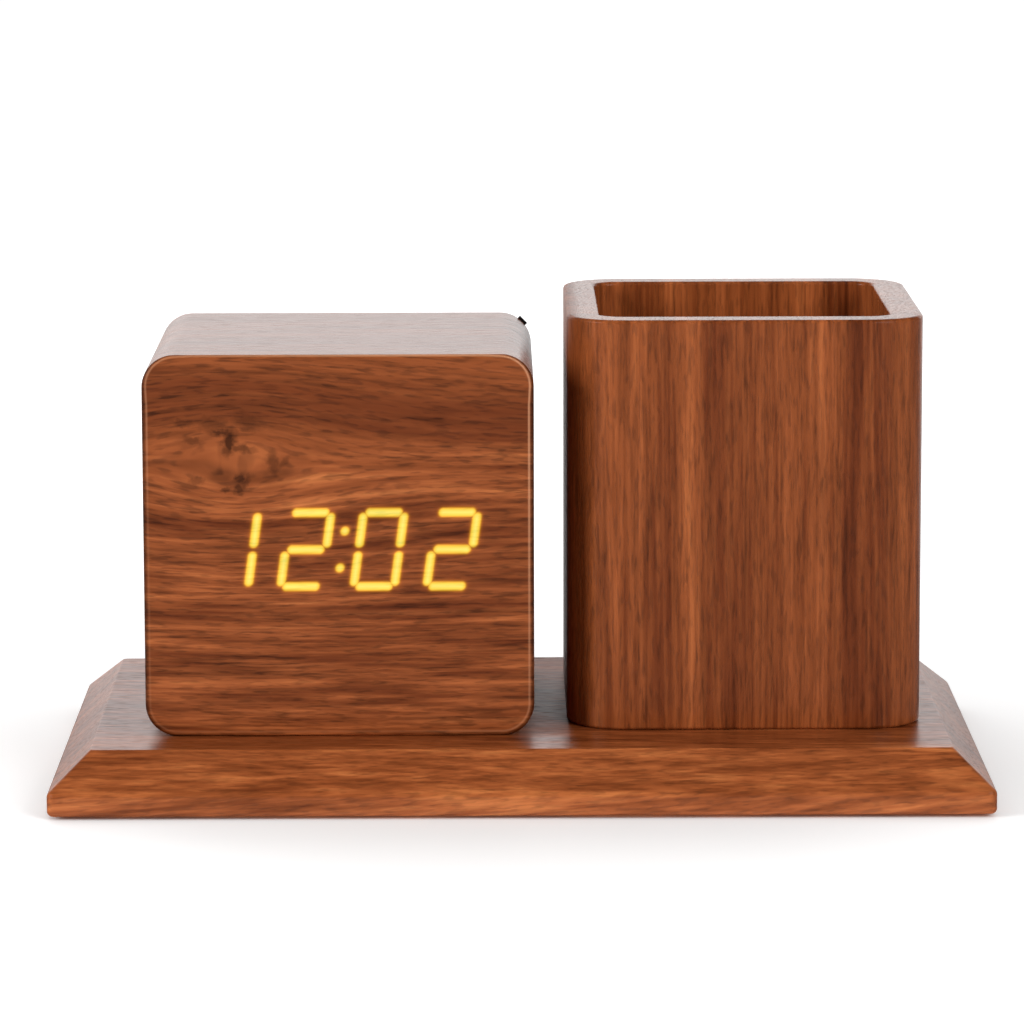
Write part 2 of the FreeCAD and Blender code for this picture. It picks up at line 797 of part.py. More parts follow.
def make_display_board():
    film = new_body("diffuser_film")
    sketch = display_sketch(film, "film_outline", "front_skin")
    add_rectangle(sketch, "reflector_length", "reflector_height")
    extrude(film, "Pad", "film", sketch, "film_thick", flip=True)
    put_in_clock(film)
    board = new_body("display_board")
    outline = display_sketch(board, "display_board_outline", "board_front")
    add_rounded_rectangle(outline, "board_length", "board_height", "board_corner")
    extrude(board, "Pad", "display_sheet", outline, "board_thick", flip=True)
    holes = display_sketch(board, "display_board_holes_outline", "board_front")
    add_grid_of_circles(holes, "small_screw + small_play", "board_screw_x", "board_screw_z")
    for side in (-1, 1):
        add_circle(holes, "peg + peg_play", f"{side} * (reflector_length / 2 - peg_inset)")
    cut(board, "display_board_holes", holes, "board_thick * 2")
    put_in_clock(board)


def make_board_fixings():
    """Tubular spacers between the front board and the display board, and their screws."""
    spacers = new_body("board_spacers")
    sketch = display_sketch(spacers, "spacer_outline", "front_skin + front_board")
    x, z = "-board_screw_x / 2", "-board_screw_z / 2"
    add_circle(sketch, "spacer", x, z)
    add_circle(sketch, "small_screw + small_play", x, z)
    tube = extrude(spacers, "Pad", "spacer_tube", sketch, "board_front - front_skin - front_board", flip=True)
    repeat(spacers, "spacer_grid", [tube], 2, "board_screw_x", 2, "board_screw_z")
    put_in_clock(spacers)
    screws = make_screws("board_screws", "small_screw", "small_head", "small_length",
                         "board_screw_x", "board_screw_z")
    put_in_clock(screws, "display_x", "board_back + small_head_tall", "display_z",
                 turn=(Vector(1, 0, 0), 90))


def make_chip():
    """The flat clock chip, with a row of legs on each of its four sides."""
    body = new_body("clock_chip")
    outline = new_sketch(body, "chip_outline", "XZ")
    add_rectangle(outline, "chip_side", "chip_side")
    extrude(body, "Pad", "chip_block", outline, "chip_tall", flip=True)
    legs = new_sketch(body, "legs_outline", "XZ")
    legs_up = new_sketch(body, "legs_up_outline", "XZ")
    for place in (-2, -1, 0, 1, 2):
        along = f"{place} * leg_pitch"
        add_rectangle(legs, "chip_span", "leg_width", 0, along)
        add_rectangle(legs_up, "leg_width", "chip_span", along, 0)
    extrude(body, "Pad", "legs", legs, "leg_thick", flip=True)
    extrude(body, "Pad", "legs_up", legs_up, "leg_thick", flip=True)
    put_in_clock(body, "display_x + chip_x", "board_back", "display_z + chip_z")


def make_small_parts():
    """Crystal, buzzer and microphone on the back of the display board."""
    crystal = new_body("quartz_crystal")
    can = new_sketch(crystal, "crystal_outline", "XZ")
    add_rounded_rectangle(can, "crystal_length", "crystal_width", "crystal_corner")
    extrude(crystal, "Pad", "crystal_can", can, "crystal_tall", flip=True)
    rim = new_sketch(crystal, "crystal_rim_outline", "XZ")
    add_rounded_rectangle(rim, "crystal_length + 2 * crystal_rim", "crystal_width + 2 * crystal_rim",
                          "crystal_corner + crystal_rim")
    extrude(crystal, "Pad", "crystal_rim_plate", rim, "crystal_rim_thick", flip=True)
    put_in_clock(crystal, "display_x + crystal_x", "board_back", "display_z + crystal_z")
    buzzer = new_body("buzzer")
    shell = new_sketch(buzzer, "buzzer_outline", "XZ")
    add_circle(shell, "buzzer_diameter")
    extrude(buzzer, "Pad", "buzzer_shell", shell, "buzzer_tall", flip=True)
    mouth = new_sketch(buzzer, "buzzer_mouth_outline", "XZ", offset="-buzzer_tall")
    add_circle(mouth, "buzzer_mouth")
    cut(buzzer, "buzzer_mouth_hole", mouth, "buzzer_mouth_deep", flip=True)
    put_in_clock(buzzer, "display_x + buzzer_x", "board_back", "display_z + buzzer_z")
    microphone = new_body("microphone")
    capsule = new_sketch(microphone, "microphone_outline", "XZ")
    add_circle(capsule, "microphone_diameter")
    extrude(microphone, "Pad", "microphone_can", capsule, "microphone_tall", flip=True)
    put_in_clock(microphone, "display_x + microphone_x", "board_back", "display_z + microphone_z")


def make_ribbon():
    """The flat cable between the two boards, on plugs, with a slack bow in the middle."""
    plugs = new_body("ribbon_plugs")
    level = "display_z + ribbon_z"
    for name, depth, flip in (("front", "board_back", True), ("back", "control_front", False)):
        sketch = new_sketch(plugs, name + "_plug_outline", "XZ", offset=f"-{depth}", x="ribbon_x", y=level)
        add_rectangle(sketch, "plug_length", "plug_height")
        extrude(plugs, "Pad", name + "_plug", sketch, "plug_deep", flip=flip)
    put_in_clock(plugs)
    body = new_body("ribbon_cable")
    profile = new_sketch(body, "ribbon_outline", "YZ", offset="ribbon_x")
    near, far = "board_back + plug_deep", "control_front - plug_deep"
    third = f"(({far}) - ({near})) / 3"
    rows = [(near, "0"), (f"{near} + {third}", "ribbon_sag"), (f"{far} - {third}", "ribbon_sag"), (far, "0")]
    lower = [(y, f"{level} - ribbon_thick / 2 - {drop}") for y, drop in rows]
    upper = [(y, f"{level} + ribbon_thick / 2 - {drop}") for y, drop in reversed(rows)]
    add_polygon(profile, lower + upper)
    extrude(body, "Pad", "ribbon", profile, "ribbon_width", both=True)
    put_in_clock(body)


# Rear cover


def bay_sketch(body, name, depth):
    return new_sketch(body, name, "XZ", offset=f"-({depth})", y="bay_z")


def add_row_of_cells(sketch, diameter):
    for row in (-1, 0, 1):
        add_circle(sketch, diameter, "cell_y", f"cell_z + {row} * cell_pitch")


def make_bay(body):
    """The battery bay: a box behind the plate, with a round trough for each cell."""
    outline = bay_sketch(body, "bay_box_outline", "cover_inside")
    add_rectangle(outline, "bay_length + 2 * bay_wall", "bay_height + 2 * bay_wall")
    extrude(body, "Pad", "bay_box", outline, "cover_inside - bay_floor + bay_wall")
    recess = bay_sketch(body, "door_recess_outline", "cover_face")
    add_rectangle(recess, "recess_length", "recess_height")
    cut(body, "door_recess", recess, "door_thick + door_seat", flip=True)
    mouth = bay_sketch(body, "bay_mouth_outline", "cover_face")
    add_rectangle(mouth, "bay_length", "bay_height")
    cut(body, "bay_mouth", mouth, "cover_face - cell_y", flip=True)
    troughs = new_sketch(body, "troughs_outline", "YZ")
    add_row_of_cells(troughs, "cell_diameter + 2 * cell_play")
    cut(body, "troughs", troughs, "bay_length", both=True)
    pivots = new_sketch(body, "pivot_outline", "YZ")
    add_circle(pivots, "hinge_pin + 2 * hinge_play", *hinge_point())
    cut(body, "pivots", pivots, "door_length + 2 * (hinge_reach + hinge_end_play)", both=True)
    notch = new_sketch(body, "nail_notch_outline", "XZ", offset="-cover_face")
    add_circle(notch, "notch_diameter", 0, "bay_z + recess_height / 2 - notch_drop")
    cut(body, "nail_notch", notch, "notch_deep", flip=True)


def hinge_point():
    """Depth and level of the battery door's hinge, in the clock's frame."""
    return "cover_face - door_thick / 2", "bay_z - door_height / 2 + door_thick / 2"


def make_cover_openings(body):
    """Holes for the buttons, the switch knob, the socket and the air slots."""
    holes = new_sketch(body, "button_holes_outline", "XZ", offset="-cover_face")
    for i in range(3):
        add_circle(holes, "button_cap + 2 * button_play", f"button_first_x + {i} * button_pitch", "control_z")
    cut(body, "button_holes", holes, "cover_thick", flip=True)
    slots = new_sketch(body, "slots_outline", "XZ", offset="-cover_face")
    add_rectangle(slots, "knob_length + knob_travel + 2 * knob_play", "knob_height + 2 * knob_play",
                  "knob_x + knob_travel / 2", "control_z")
    for i in range(4):
        across = f"knob_x + ({i} - 1) * air_slot_pitch"
        add_rectangle(slots, "air_slot_width", "air_slot_height", across, "socket_z")
    cut(body, "slots", slots, "cover_thick", flip=True)
    socket = new_sketch(body, "socket_hole_outline", "XZ", offset="-cover_face", y="socket_z")
    add_rounded_rectangle(socket, "socket_length + 2 * socket_play", "socket_height + 2 * socket_play",
                          "socket_hole_corner")
    cut(body, "socket_hole", socket, "cover_thick", flip=True)


def make_pry_tab(body):
    """A raised boss round the upper corner screw, with a nail tab that reaches out over the case."""
    screw_x, screw_z = "cover_screw_x / 2", "cover_screw_z / 2"
    boss = new_sketch(body, "boss_outline", "XZ", offset="-(cover_face - boss_root)", x=screw_x, y=screw_z)
    add_circle(boss, "boss_diameter")
    extrude(body, "Pad", "boss", boss, "tab_back - cover_face + boss_root", flip=True)
    half = "tab_width / 2 * sin(45)"
    tip_x = "clock_width / 2 - clock_corner + (clock_corner + tab_reach) * sin(45)"
    tip_z = "clock_height / 2 - clock_corner + (clock_corner + tab_reach) * sin(45)"
    tab = new_sketch(body, "tab_outline", "XZ", offset="-(tab_back - tab_thick)")
    add_polygon(tab, [
        (f"{screw_x} + {half}", f"{screw_z} - {half}"),
        (f"{tip_x} + {half}", f"{tip_z} - {half}"),
        (f"{tip_x} - {half}", f"{tip_z} + {half}"),
        (f"{screw_x} - {half}", f"{screw_z} + {half}"),
    ])
    extrude(body, "Pad", "tab", tab, "tab_thick", flip=True)


def make_rear_cover():
    """The moulded back: plate, battery bay, board posts, screw holes and openings."""
    body = new_body("rear_cover")
    outline = new_sketch(body, "cover_outline", "XZ", offset="-cover_inside")
    add_rounded_rectangle(outline, "cover_width - 2 * cover_gap", "cover_height - 2 * cover_gap",
                          "cover_corner")
    extrude(body, "Pad", "cover_plate", outline, "cover_thick", flip=True)
    make_bay(body)
    posts = new_sketch(body, "posts_outline", "XZ", offset="-cover_inside")
    for side in (-1, 1):
        add_circle(posts, "post", f"{side} * post_pitch / 2", "control_mid")
    extrude(body, "Pad", "posts", posts, "cover_inside - control_back")
    bores = new_sketch(body, "post_bores_outline", "XZ", offset="-control_back")
    for side in (-1, 1):
        add_circle(bores, "small_screw + tap_play", f"{side} * post_pitch / 2", "control_mid")
    cut(body, "post_bores", bores, "post_bore_deep")
    make_cover_openings(body)
    make_pry_tab(body)
    holes = new_sketch(body, "cover_screw_outline", "XZ", offset="-tab_back")
    add_grid_of_circles(holes, "small_screw + small_play", "cover_screw_x", "cover_screw_z")
    cut(body, "cover_screw_holes", holes, "cover_thick * 2", flip=True)
    sinks = new_sketch(body, "cover_sinks_outline", "XZ", offset="-tab_back")
    add_grid_of_circles(sinks, "small_head + sink_play", "cover_screw_x", "cover_screw_z")
    cut(body, "cover_sinks", sinks, "tab_back - cover_face + small_head_tall + sink_extra", flip=True)
    put_in_clock(body)
    screws = make_screws("rear_cover_screws", "small_screw", "small_head", "small_length",
                         "cover_screw_x", "cover_screw_z")
    put_in_clock(screws, y="cover_face - sink_extra", turn=(Vector(1, 0, 0), 90))


def make_battery_door():
    """The door, round along its lower edge, with hinge stubs, a latch tongue and grip ribs."""
    body = new_body("battery_door")
    outline = bay_sketch(body, "door_outline", "cover_face")
    add_rectangle(outline, "door_length", "door_height")
    extrude(body, "Pad", "door_plate", outline, "door_thick")
    low = value("bay_z - door_height / 2")
    soften(body, "hinge_edge", "door_thick / 2 * 0.99", lambda edge: flat_at(edge, "Z", low))
    pins = new_sketch(body, "door_pins_outline", "YZ")
    add_circle(pins, "hinge_pin", *hinge_point())
    extrude(body, "Pad", "door_pins", pins, "door_length + 2 * hinge_reach", both=True)
    tongue = bay_sketch(body, "tongue_outline", "door_inside + door_gap")
    add_rectangle(tongue, "tongue_length", "tongue_height", 0, "bay_height / 2 - tongue_drop")
    extrude(body, "Pad", "tongue", tongue, "tongue_deep")
    ribs = bay_sketch(body, "grip_outline", "cover_face")
    for i in range(4):
        level = f"door_height / 2 - grip_drop - {i} * grip_pitch"
        add_rectangle(ribs, "grip_length", "grip_height", 0, level)
    cut(body, "grip", ribs, "grip_deep", flip=True)
    put_in_clock(body)


def make_batteries():
    """Three AAA cells, the middle one the other way round."""
    body = new_body("batteries")
    for row, side in ((-1, 1), (0, -1), (1, 1)):
        name = ("lower", "middle", "upper")[row + 1]
        sketch = new_sketch(body, name + "_cell_profile", "XZ", offset="-cell_y",
                            x=f"{side} * cell_shift", y=f"cell_z + {row} * cell_pitch")
        flat, shoulder = "cell_length / 2", "cell_length / 2 - cell_nub_tall"
        add_polygon(sketch, [
            (f"-{side} * {flat}", 0),
            (f"-{side} * {flat}", "cell_diameter / 2"),
            (f"{side} * ({shoulder})", "cell_diameter / 2"),
            (f"{side} * ({shoulder})", "cell_nub / 2"),
            (f"{side} * {flat}", "cell_nub / 2"),
            (f"{side} * {flat}", 0),
        ])
        turned = body.newObject("PartDesign::Revolution", name + "_cell")
        turned.Profile = sketch
        turned.ReferenceAxis = (sketch, ["H_Axis"])
        doc.recompute()
    put_in_clock(body)


def make_contacts():
    """Spring contacts at the flat ends of the cells and plates at the buttons."""
    springs, plates = new_body("battery_springs"), new_body("battery_plates")
    leaf = "bay_length / 2 - cell_length / 2 + cell_shift - leaf_clear"
    for row, side in ((-1, -1), (0, 1), (1, -1)):
        name = ("lower", "middle", "upper")[row + 1]
        level = f"cell_z + {row} * cell_pitch"
        wall = f"{side} * bay_length / 2"
        spring = new_sketch(springs, name + "_spring_outline", "XZ", offset="-cell_y", y=level)
        shape = [
            (0, "-leaf_foot"), ("leaf_base", "-leaf_foot"), (leaf, "-leaf_tip"),
            (leaf, "leaf_tip"), ("leaf_base", "leaf_foot"), (0, "leaf_foot"),
            (0, "leaf_crook"), (f"{leaf} - leaf_thick", 0), (0, "-leaf_crook"),
        ]
        add_polygon(spring, [(f"{wall} - {side} * ({x})", z) for x, z in shape])
        extrude(springs, "Pad", name + "_spring", spring, "leaf_width", both=True)
        plate = new_sketch(plates, name + "_plate_outline", "XZ", offset="-cell_y", y=level)
        far = f"-{side} * bay_length / 2"
        add_rectangle(plate, "plate_thick", "plate_height", f"{far} + {side} * plate_thick / 2")
        extrude(plates, "Pad", name + "_plate", plate, "plate_width", both=True)
    put_in_clock(springs)
    put_in_clock(plates)


# Controls


def make_button(name, column):
    """A turned cap with a flange that holds it in and a stem that presses its plunger."""
    x = f"button_first_x + {column} * button_pitch"
    turn = (Vector(1, 0, 0), -90)
    body = new_body(name + "_button")
    profile = new_sketch(body, name + "_button_profile", "XZ")
    flange = "stem_long + flange_thick"
    top = "cover_face + button_proud - stem_front"
    add_polygon(profile, [
        (0, 0), ("stem / 2", 0), ("stem / 2", "stem_long"), ("flange / 2", "stem_long"),
        ("flange / 2", flange), ("button_cap / 2", flange), ("button_cap / 2", f"{top} - button_bevel"),
        ("button_cap / 2 - button_bevel", top), (0, top),
    ])
    revolve(body, name + "_button_turned", profile)
    put_in_clock(body, x, "stem_front", "control_z", turn)
    plunger = new_body(name + "_plunger")
    shaft = new_sketch(plunger, name + "_plunger_outline")
    add_circle(shaft, "plunger")
    extrude(plunger, "Pad", name + "_plunger_shaft", shaft, "plunger_long")
    put_in_clock(plunger, x, "stem_front - plunger_long", "control_z", turn)


def make_tact_switches():
    """The three switch bodies on the control board, each bored for its plunger."""
    body = new_body("tact_switches")
    outline = new_sketch(body, "tact_outline", "XZ", offset="-control_back",
                         x="button_first_x", y="control_z")
    add_rectangle(outline, "tact_side", "tact_side")
    block = extrude(body, "Pad", "tact_body", outline, "tact_tall", flip=True)
    repeat(body, "tact_row", [block], 3, "2 * button_pitch")
    bore = new_sketch(body, "tact_bore_outline", "XZ", offset="-tact_back",
                      x="button_first_x", y="control_z")
    add_circle(bore, "plunger + plunger_play")
    reach = "plunger_long - plunger_proud + button_travel + plunger_spare"
    hole = cut(body, "tact_bore", bore, reach, flip=True)
    repeat(body, "tact_bores", [hole], 3, "2 * button_pitch")
    put_in_clock(body)


def make_control_board():
    board = new_body("control_board")
    outline = new_sketch(board, "control_outline", "XZ", offset="-control_front", y="control_mid")
    add_rounded_rectangle(outline, "control_length", "control_height", "board_corner")
    extrude(board, "Pad", "control_sheet", outline, "board_thick", flip=True)
    holes = new_sketch(board, "control_holes_outline", "XZ", offset="-control_front", y="control_mid")
    for side in (-1, 1):
        add_circle(holes, "small_screw + small_play", f"{side} * post_pitch / 2")
    cut(board, "control_holes", holes, "board_thick * 2")
    put_in_clock(board)
    screws = new_body("control_board_screws")
    for side, name in ((-1, "left"), (1, "right")):
        profile = new_sketch(screws, name + "_screw_profile", "XY", x=f"{side} * post_pitch / 2")
        add_polygon(profile, [
            (0, "-small_head_tall"),
            ("small_head_tall", "-small_head_tall"),
            ("small_head / 2", "-small_head_tall / 2"),
            ("small_head / 2", 0),
            ("small_screw / 2", 0),
            ("small_screw / 2", "post_screw_thread"),
            (0, "post_screw_length"),
        ])
        revolve(screws, name + "_screw", profile)
    put_in_clock(screws, y="control_front", z="control_mid")


def make_switch():
    """The slide switch and its knob, which travels along X in a slot of the cover."""
    body = new_body("slide_switch")
    outline = new_sketch(body, "switch_outline", "XZ", offset="-control_back",
                         x="knob_x + knob_travel / 2", y="control_z")
    add_rectangle(outline, "switch_length", "switch_height")
    extrude(body, "Pad", "switch_box", outline, "switch_face - control_back", flip=True)
    slot = new_sketch(body, "switch_slot_outline", "XZ", offset="-switch_face",
                      x="knob_x + knob_travel / 2", y="control_z")
    add_rectangle(slot, "knob_length - 2 * lever_inset + knob_travel + 2 * lever_play",
                  "lever_height + 2 * lever_play")
    cut(body, "switch_slot", slot, "switch_slot_deep", flip=True)
    put_in_clock(body)
    knob = new_body("switch_knob")
    foot = "cover_inside - knob_seat"
    lever = new_sketch(knob, "lever_outline", "XZ", offset=f"-({foot})", x="knob_x", y="control_z")
    add_rectangle(lever, "knob_length - 2 * lever_inset", "lever_height")
    extrude(knob, "Pad", "lever", lever, "lever_long")
    cap = new_sketch(knob, "knob_outline", "XZ", offset=f"-({foot})", x="knob_x", y="control_z")
    add_rectangle(cap, "knob_length", "knob_height")
    extrude(knob, "Pad", "knob_cap", cap, "knob_seat + cover_thick + knob_proud", flip=True)
    teeth = new_sketch(knob, "teeth_outline", "XZ", offset="-(cover_face + knob_proud)",
                       x="knob_x", y="control_z")
    for i in (-1, 0, 1):
        add_rectangle(teeth, "tooth_width", "knob_height", f"{i} * tooth_pitch")
    cut(knob, "teeth", teeth, "tooth_deep", flip=True)
    put_in_clock(knob)


def make_socket():
    """The power socket: a rolled metal shell with a contact tongue inside."""
    body = new_body("usb_socket")
    shell = new_sketch(body, "shell_outline", "XZ", offset="-control_back", y="socket_z")
    add_rounded_rectangle(shell, "socket_length", "socket_height", "socket_corner")
    extrude(body, "Pad", "shell", shell, "socket_face - control_back", flip=True)
    mouth = new_sketch(body, "shell_mouth_outline", "XZ", offset="-socket_face", y="socket_z")
    add_rounded_rectangle(mouth, "socket_length - 2 * socket_skin", "socket_height - 2 * socket_skin",
                          "socket_corner - socket_skin")
    cut(body, "shell_mouth", mouth, "socket_deep", flip=True)
    tongue = new_sketch(body, "contact_tongue_outline", "XZ", offset="-(cover_face - contact_set_back)",
                        y="socket_z + contact_lift")
    add_rectangle(tongue, "socket_length - 2 * contact_inset", "contact_thick")
    extrude(body, "Pad", "contact_tongue", tongue, "socket_deep")
    put_in_clock(body)


def make_sensor():
    """The temperature sensor behind the air slots, a half-round three-legged case."""
    body = new_body("temperature_sensor")
    case = new_sketch(body, "sensor_outline", "XY")
    add_polygon(case, [
        ("-sensor_wide / 2", "-sensor_flat"), ("sensor_wide / 2", "-sensor_flat"),
        ("sensor_wide / 2", "sensor_shoulder"), ("sensor_crown / 2", "sensor_round"),
        ("-sensor_crown / 2", "sensor_round"), ("-sensor_wide / 2", "sensor_shoulder"),
    ])
    extrude(body, "Pad", "sensor_case", case, "sensor_tall")
    legs = new_sketch(body, "sensor_legs_outline", "XY")
    for i in (-1, 0, 1):
        add_rectangle(legs, "sensor_leg", "sensor_leg", f"{i} * sensor_leg_pitch")
    extrude(body, "Pad", "sensor_legs", legs, "sensor_leg_long", flip=True)
    put_in_clock(body, "knob_x + sensor_x", "control_back + sensor_leg_long", "socket_z",
                 (Vector(1, 0, 0), -90))


def make_all():
    make_plinth()
    make_foot_pads()
    make_wood_screws()
    make_cup_walls()
    make_cup_floor()
    make_clock_case()
    make_veneers()
    make_reflector()
    make_lenses()
    make_leds()
    make_display_board()
    make_board_fixings()
    make_chip()
    make_small_parts()
    make_ribbon()
    make_rear_cover()
    make_battery_door()
    make_batteries()
    make_contacts()
    for column, name in enumerate(("set", "up", "down")):
        make_button(name, column)
    make_tact_switches()
    make_control_board()
    make_switch()
    make_socket()
    make_sensor()


def check_all():
    """Stop before anything is written if any object failed or any sub-part isn't sound."""
    for item in doc.Objects:
        if "Invalid" in item.State or "Error" in item.State:
            raise RuntimeError(f"{item.Name} failed: {item.State}")
    for name, item in subparts.items():
        if item.Shape.isNull() or not item.Shape.isValid() or not item.Shape.Solids:
            raise RuntimeError(f"{name} is not a sound solid")
        print(name, len(item.Shape.Solids), round(item.Shape.Volume, 1))


fill_sheet()
make_all()
doc.recompute()
check_all()
os.makedirs("parts", exist_ok=True)
for node, item in subparts.items():
    item.Shape.exportStep(f"parts/{node}.step")
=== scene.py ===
import json
import math

import bmesh
import bpy
from mathutils import Matrix, Vector

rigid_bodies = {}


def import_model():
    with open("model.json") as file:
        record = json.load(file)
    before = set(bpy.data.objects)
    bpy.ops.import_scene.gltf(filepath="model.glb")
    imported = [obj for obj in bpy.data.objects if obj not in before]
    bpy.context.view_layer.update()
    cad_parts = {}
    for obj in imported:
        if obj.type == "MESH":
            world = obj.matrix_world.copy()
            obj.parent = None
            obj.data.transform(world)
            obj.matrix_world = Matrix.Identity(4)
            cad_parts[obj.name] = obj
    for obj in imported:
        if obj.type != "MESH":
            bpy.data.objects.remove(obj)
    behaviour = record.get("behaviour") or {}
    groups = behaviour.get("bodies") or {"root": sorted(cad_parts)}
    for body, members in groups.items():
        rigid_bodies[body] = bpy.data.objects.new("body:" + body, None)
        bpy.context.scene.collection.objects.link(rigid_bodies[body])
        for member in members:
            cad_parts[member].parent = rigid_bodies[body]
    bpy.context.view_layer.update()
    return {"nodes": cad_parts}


for leftOver in list(bpy.data.objects):  # an empty file first
    bpy.data.objects.remove(leftOver)
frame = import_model()
nodes = frame["nodes"]
print("frame loaded:", len(nodes), "nodes")

mm = 0.001
noiseSpan = (0.3, 0.7)  # nearly all of a noise's values lie in between

clockBlock = {"x": -44.3, "width": 95, "bottom": 15.3, "top": 109.3, "front": -43, "corner": 8}  # mm


# Colours and nodes

def toLinear(hexColour):
    channels = [int(hexColour[i:i + 2], 16) / 255 for i in (1, 3, 5)]
    return [c / 12.92 if c < 0.04045 else ((c + 0.055) / 1.055) ** 2.4 for c in channels] + [1.0]


def addNode(tree, kind, inputs=None, stops=None, **settings):
    node = tree.nodes.new("ShaderNode" + kind)
    for name, setting in settings.items():
        setattr(node, name, setting)
    for key, given in (inputs or {}).items():
        socket = node.inputs[key]
        if isinstance(given, bpy.types.NodeSocket):
            tree.links.new(given, socket)
        else:
            socket.default_value = given
    if stops:  # a ramp's positions and colours
        ramp = node.color_ramp
        while len(ramp.elements) < len(stops):
            ramp.elements.new(0.5)
        for element, (position, colour) in zip(ramp.elements, stops):
            element.position = position
            element.color = toLinear(colour) if isinstance(colour, str) else [colour] * 3 + [1]
    return node


def newMaterial(name):
    material = bpy.data.materials.new(name)
    material.use_nodes = True
    tree = material.node_tree
    tree.nodes.clear()
    surface = addNode(tree, "BsdfPrincipled")
    out = addNode(tree, "OutputMaterial")
    tree.links.new(surface.outputs[0], out.inputs["Surface"])
    return material, tree, surface


def inMillimetres(tree):
    place = addNode(tree, "TexCoord")
    big = addNode(tree, "VectorMath", {0: place.outputs["Object"], "Scale": 1000}, operation="SCALE")
    return big.outputs[0]


def dress(name, material):
    nodes[name].data.materials.clear()
    nodes[name].data.materials.append(material)


# Walnut: a red-brown open-pored hardwood, sanded and sprayed with a thin clear lacquer.
# To the eye it is warm stripes along the grain, fine dark pores and a soft sheen.
# The bands of each look run across the grain, as places and tones from 0, dark, to 1, light.

walnutTones = [
    (0.0, "#421c0b"), (0.2, "#632d13"), (0.35, "#73381a"), (0.5, "#844421"), (0.65, "#944e28"),
    (0.8, "#a65b30"), (1.0, "#bc6e3c"),
]

woodLooks = {
    "clockFront": {
        "along": 0, "turn": (0, -1, 0), "shift": (37, 5, 11), "roughness": 0.3, "ior": 1.42,
        "contrast": 1, "stretch": 1.7, "dashes": 0.9, "bump": 0.2,
        "calmFrom": 82, "calmTo": 92, "calmShare": 0.3,  # mm up the front, quieter above
        "bandAxis": 2, "bandFrom": clockBlock["bottom"], "bandTo": clockBlock["top"], "bandShare": 0.6,
        "bands": [
            (0.0, .74), (0.05, .72), (0.10, .42), (0.18, .62), (0.25, .46), (0.33, .80), (0.42, .48),
            (0.54, .52), (0.62, .54), (0.67, .66), (0.74, .75), (0.79, .23), (0.86, .21), (0.92, .53),
            (1.0, .66),
        ],
        "knot": True,
    },
    "clockWrap": {
        "along": 0, "turn": (0, 0, 0), "shift": (210, 71, 3), "roughness": 0.24, "ior": 1.52,
        "contrast": 0.6, "stretch": 2, "dashes": 0.3, "bump": 0.02, "wrapped": True,
        "bandAxis": 1, "bandFrom": -42, "bandTo": 40, "bandShare": 0.4,
        "bands": [(0.0, .5), (0.3, .38), (0.55, .6), (0.8, .35), (1.0, .5)],
    },
    "cup": {
        "along": 2, "turn": (0, 0.6, 0), "shift": (13, 96, 41), "roughness": 0.22, "ior": 1.46,
        "contrast": 0.64, "stretch": 2.8, "dashes": 0.7, "bump": 0.24, "dull": True,
        "bandAxis": 0, "bandFrom": 11.4, "bandTo": 98.8, "bandShare": 0.62,
        "bands": [(0.0, .42), (0.13, .60), (0.21, .46), (0.28, .30), (0.335, .92), (0.39, .32), (0.50, .54),
                  (0.63, .44), (0.71, .80), (0.79, .28), (0.86, .34), (0.91, .60), (1.0, .46)],
    },
    "cupFloor": {
        "along": 0, "turn": (0, 0, 0), "shift": (3, 17, 290), "roughness": 0.5, "ior": 1.4,
        "contrast": 0.8, "stretch": 1.5, "dashes": 1, "bump": 0.25,
        "bandAxis": 1, "bandFrom": -40, "bandTo": 50, "bandShare": 0.5,
        "bands": [(0.0, .3), (0.4, .5), (0.7, .3), (1.0, .45)],
    },
    "plinth": {
        "along": 0, "turn": (0, 5, 4), "shift": (77, 31, 8), "roughness": 0.28, "ior": 1.46,
        "contrast": 0.84, "stretch": 2.2, "dashes": 0.6, "bump": 0.1, "dull": True,
        "bandAxis": 1, "bandFrom": -70, "bandTo": 70, "bandShare": 0.45,
        "bands": [(0.0, .87), (0.05, .85), (0.11, .74), (0.3, .35), (0.5, .55), (0.7, .35), (0.9, .6),
                  (1.0, .5)],
    },
}

woodLayers = [  # width in mm, length in widths, detail, weight
    (24, 7, 2, 0.4),    # broad drifts of tone
    (8, 11, 2, 0.75),   # flames
    (3.2, 15, 3, 1.1),  # growth stripes
    (1.2, 12, 3, 1.2),  # fibres
]

woodDashes = [  # width in mm, length in widths, where the noise starts and ends to darken, depth
    (1.6, 45, 0.58, 0.65, 0.26),  # thin growth lines that run a long way
    (1.1, 9, 0.50, 0.62, 0.26),   # short dark streaks with crisp ends
    (0.6, 8, 0.52, 0.64, 0.36),   # vessels cut lengthwise
]

woodSway = {"reach": 9, "width": 26, "length": 570}  # mm, about a fifth of the reach shows

woodFinish = {
    "lift": 0.18,         # a lighter ground, which makes up for the dark dashes
    "poreDepth": 0.06,    # mm, how far the lacquer sinks into a pore
    "fibreRise": 0.35,    # share of that depth
    "poreDullness": 0.18,
}

dullLook = {  # the narrow gap between clock and cup, which no rubbing pad reaches
    "middle": 7.3, "half": 4.3, "fade": 3.5,  # mm, across the gap
    "frontFrom": -46, "frontTo": -38,         # mm, where it begins behind the front edge
    "rise": 0.17,                             # added roughness
}

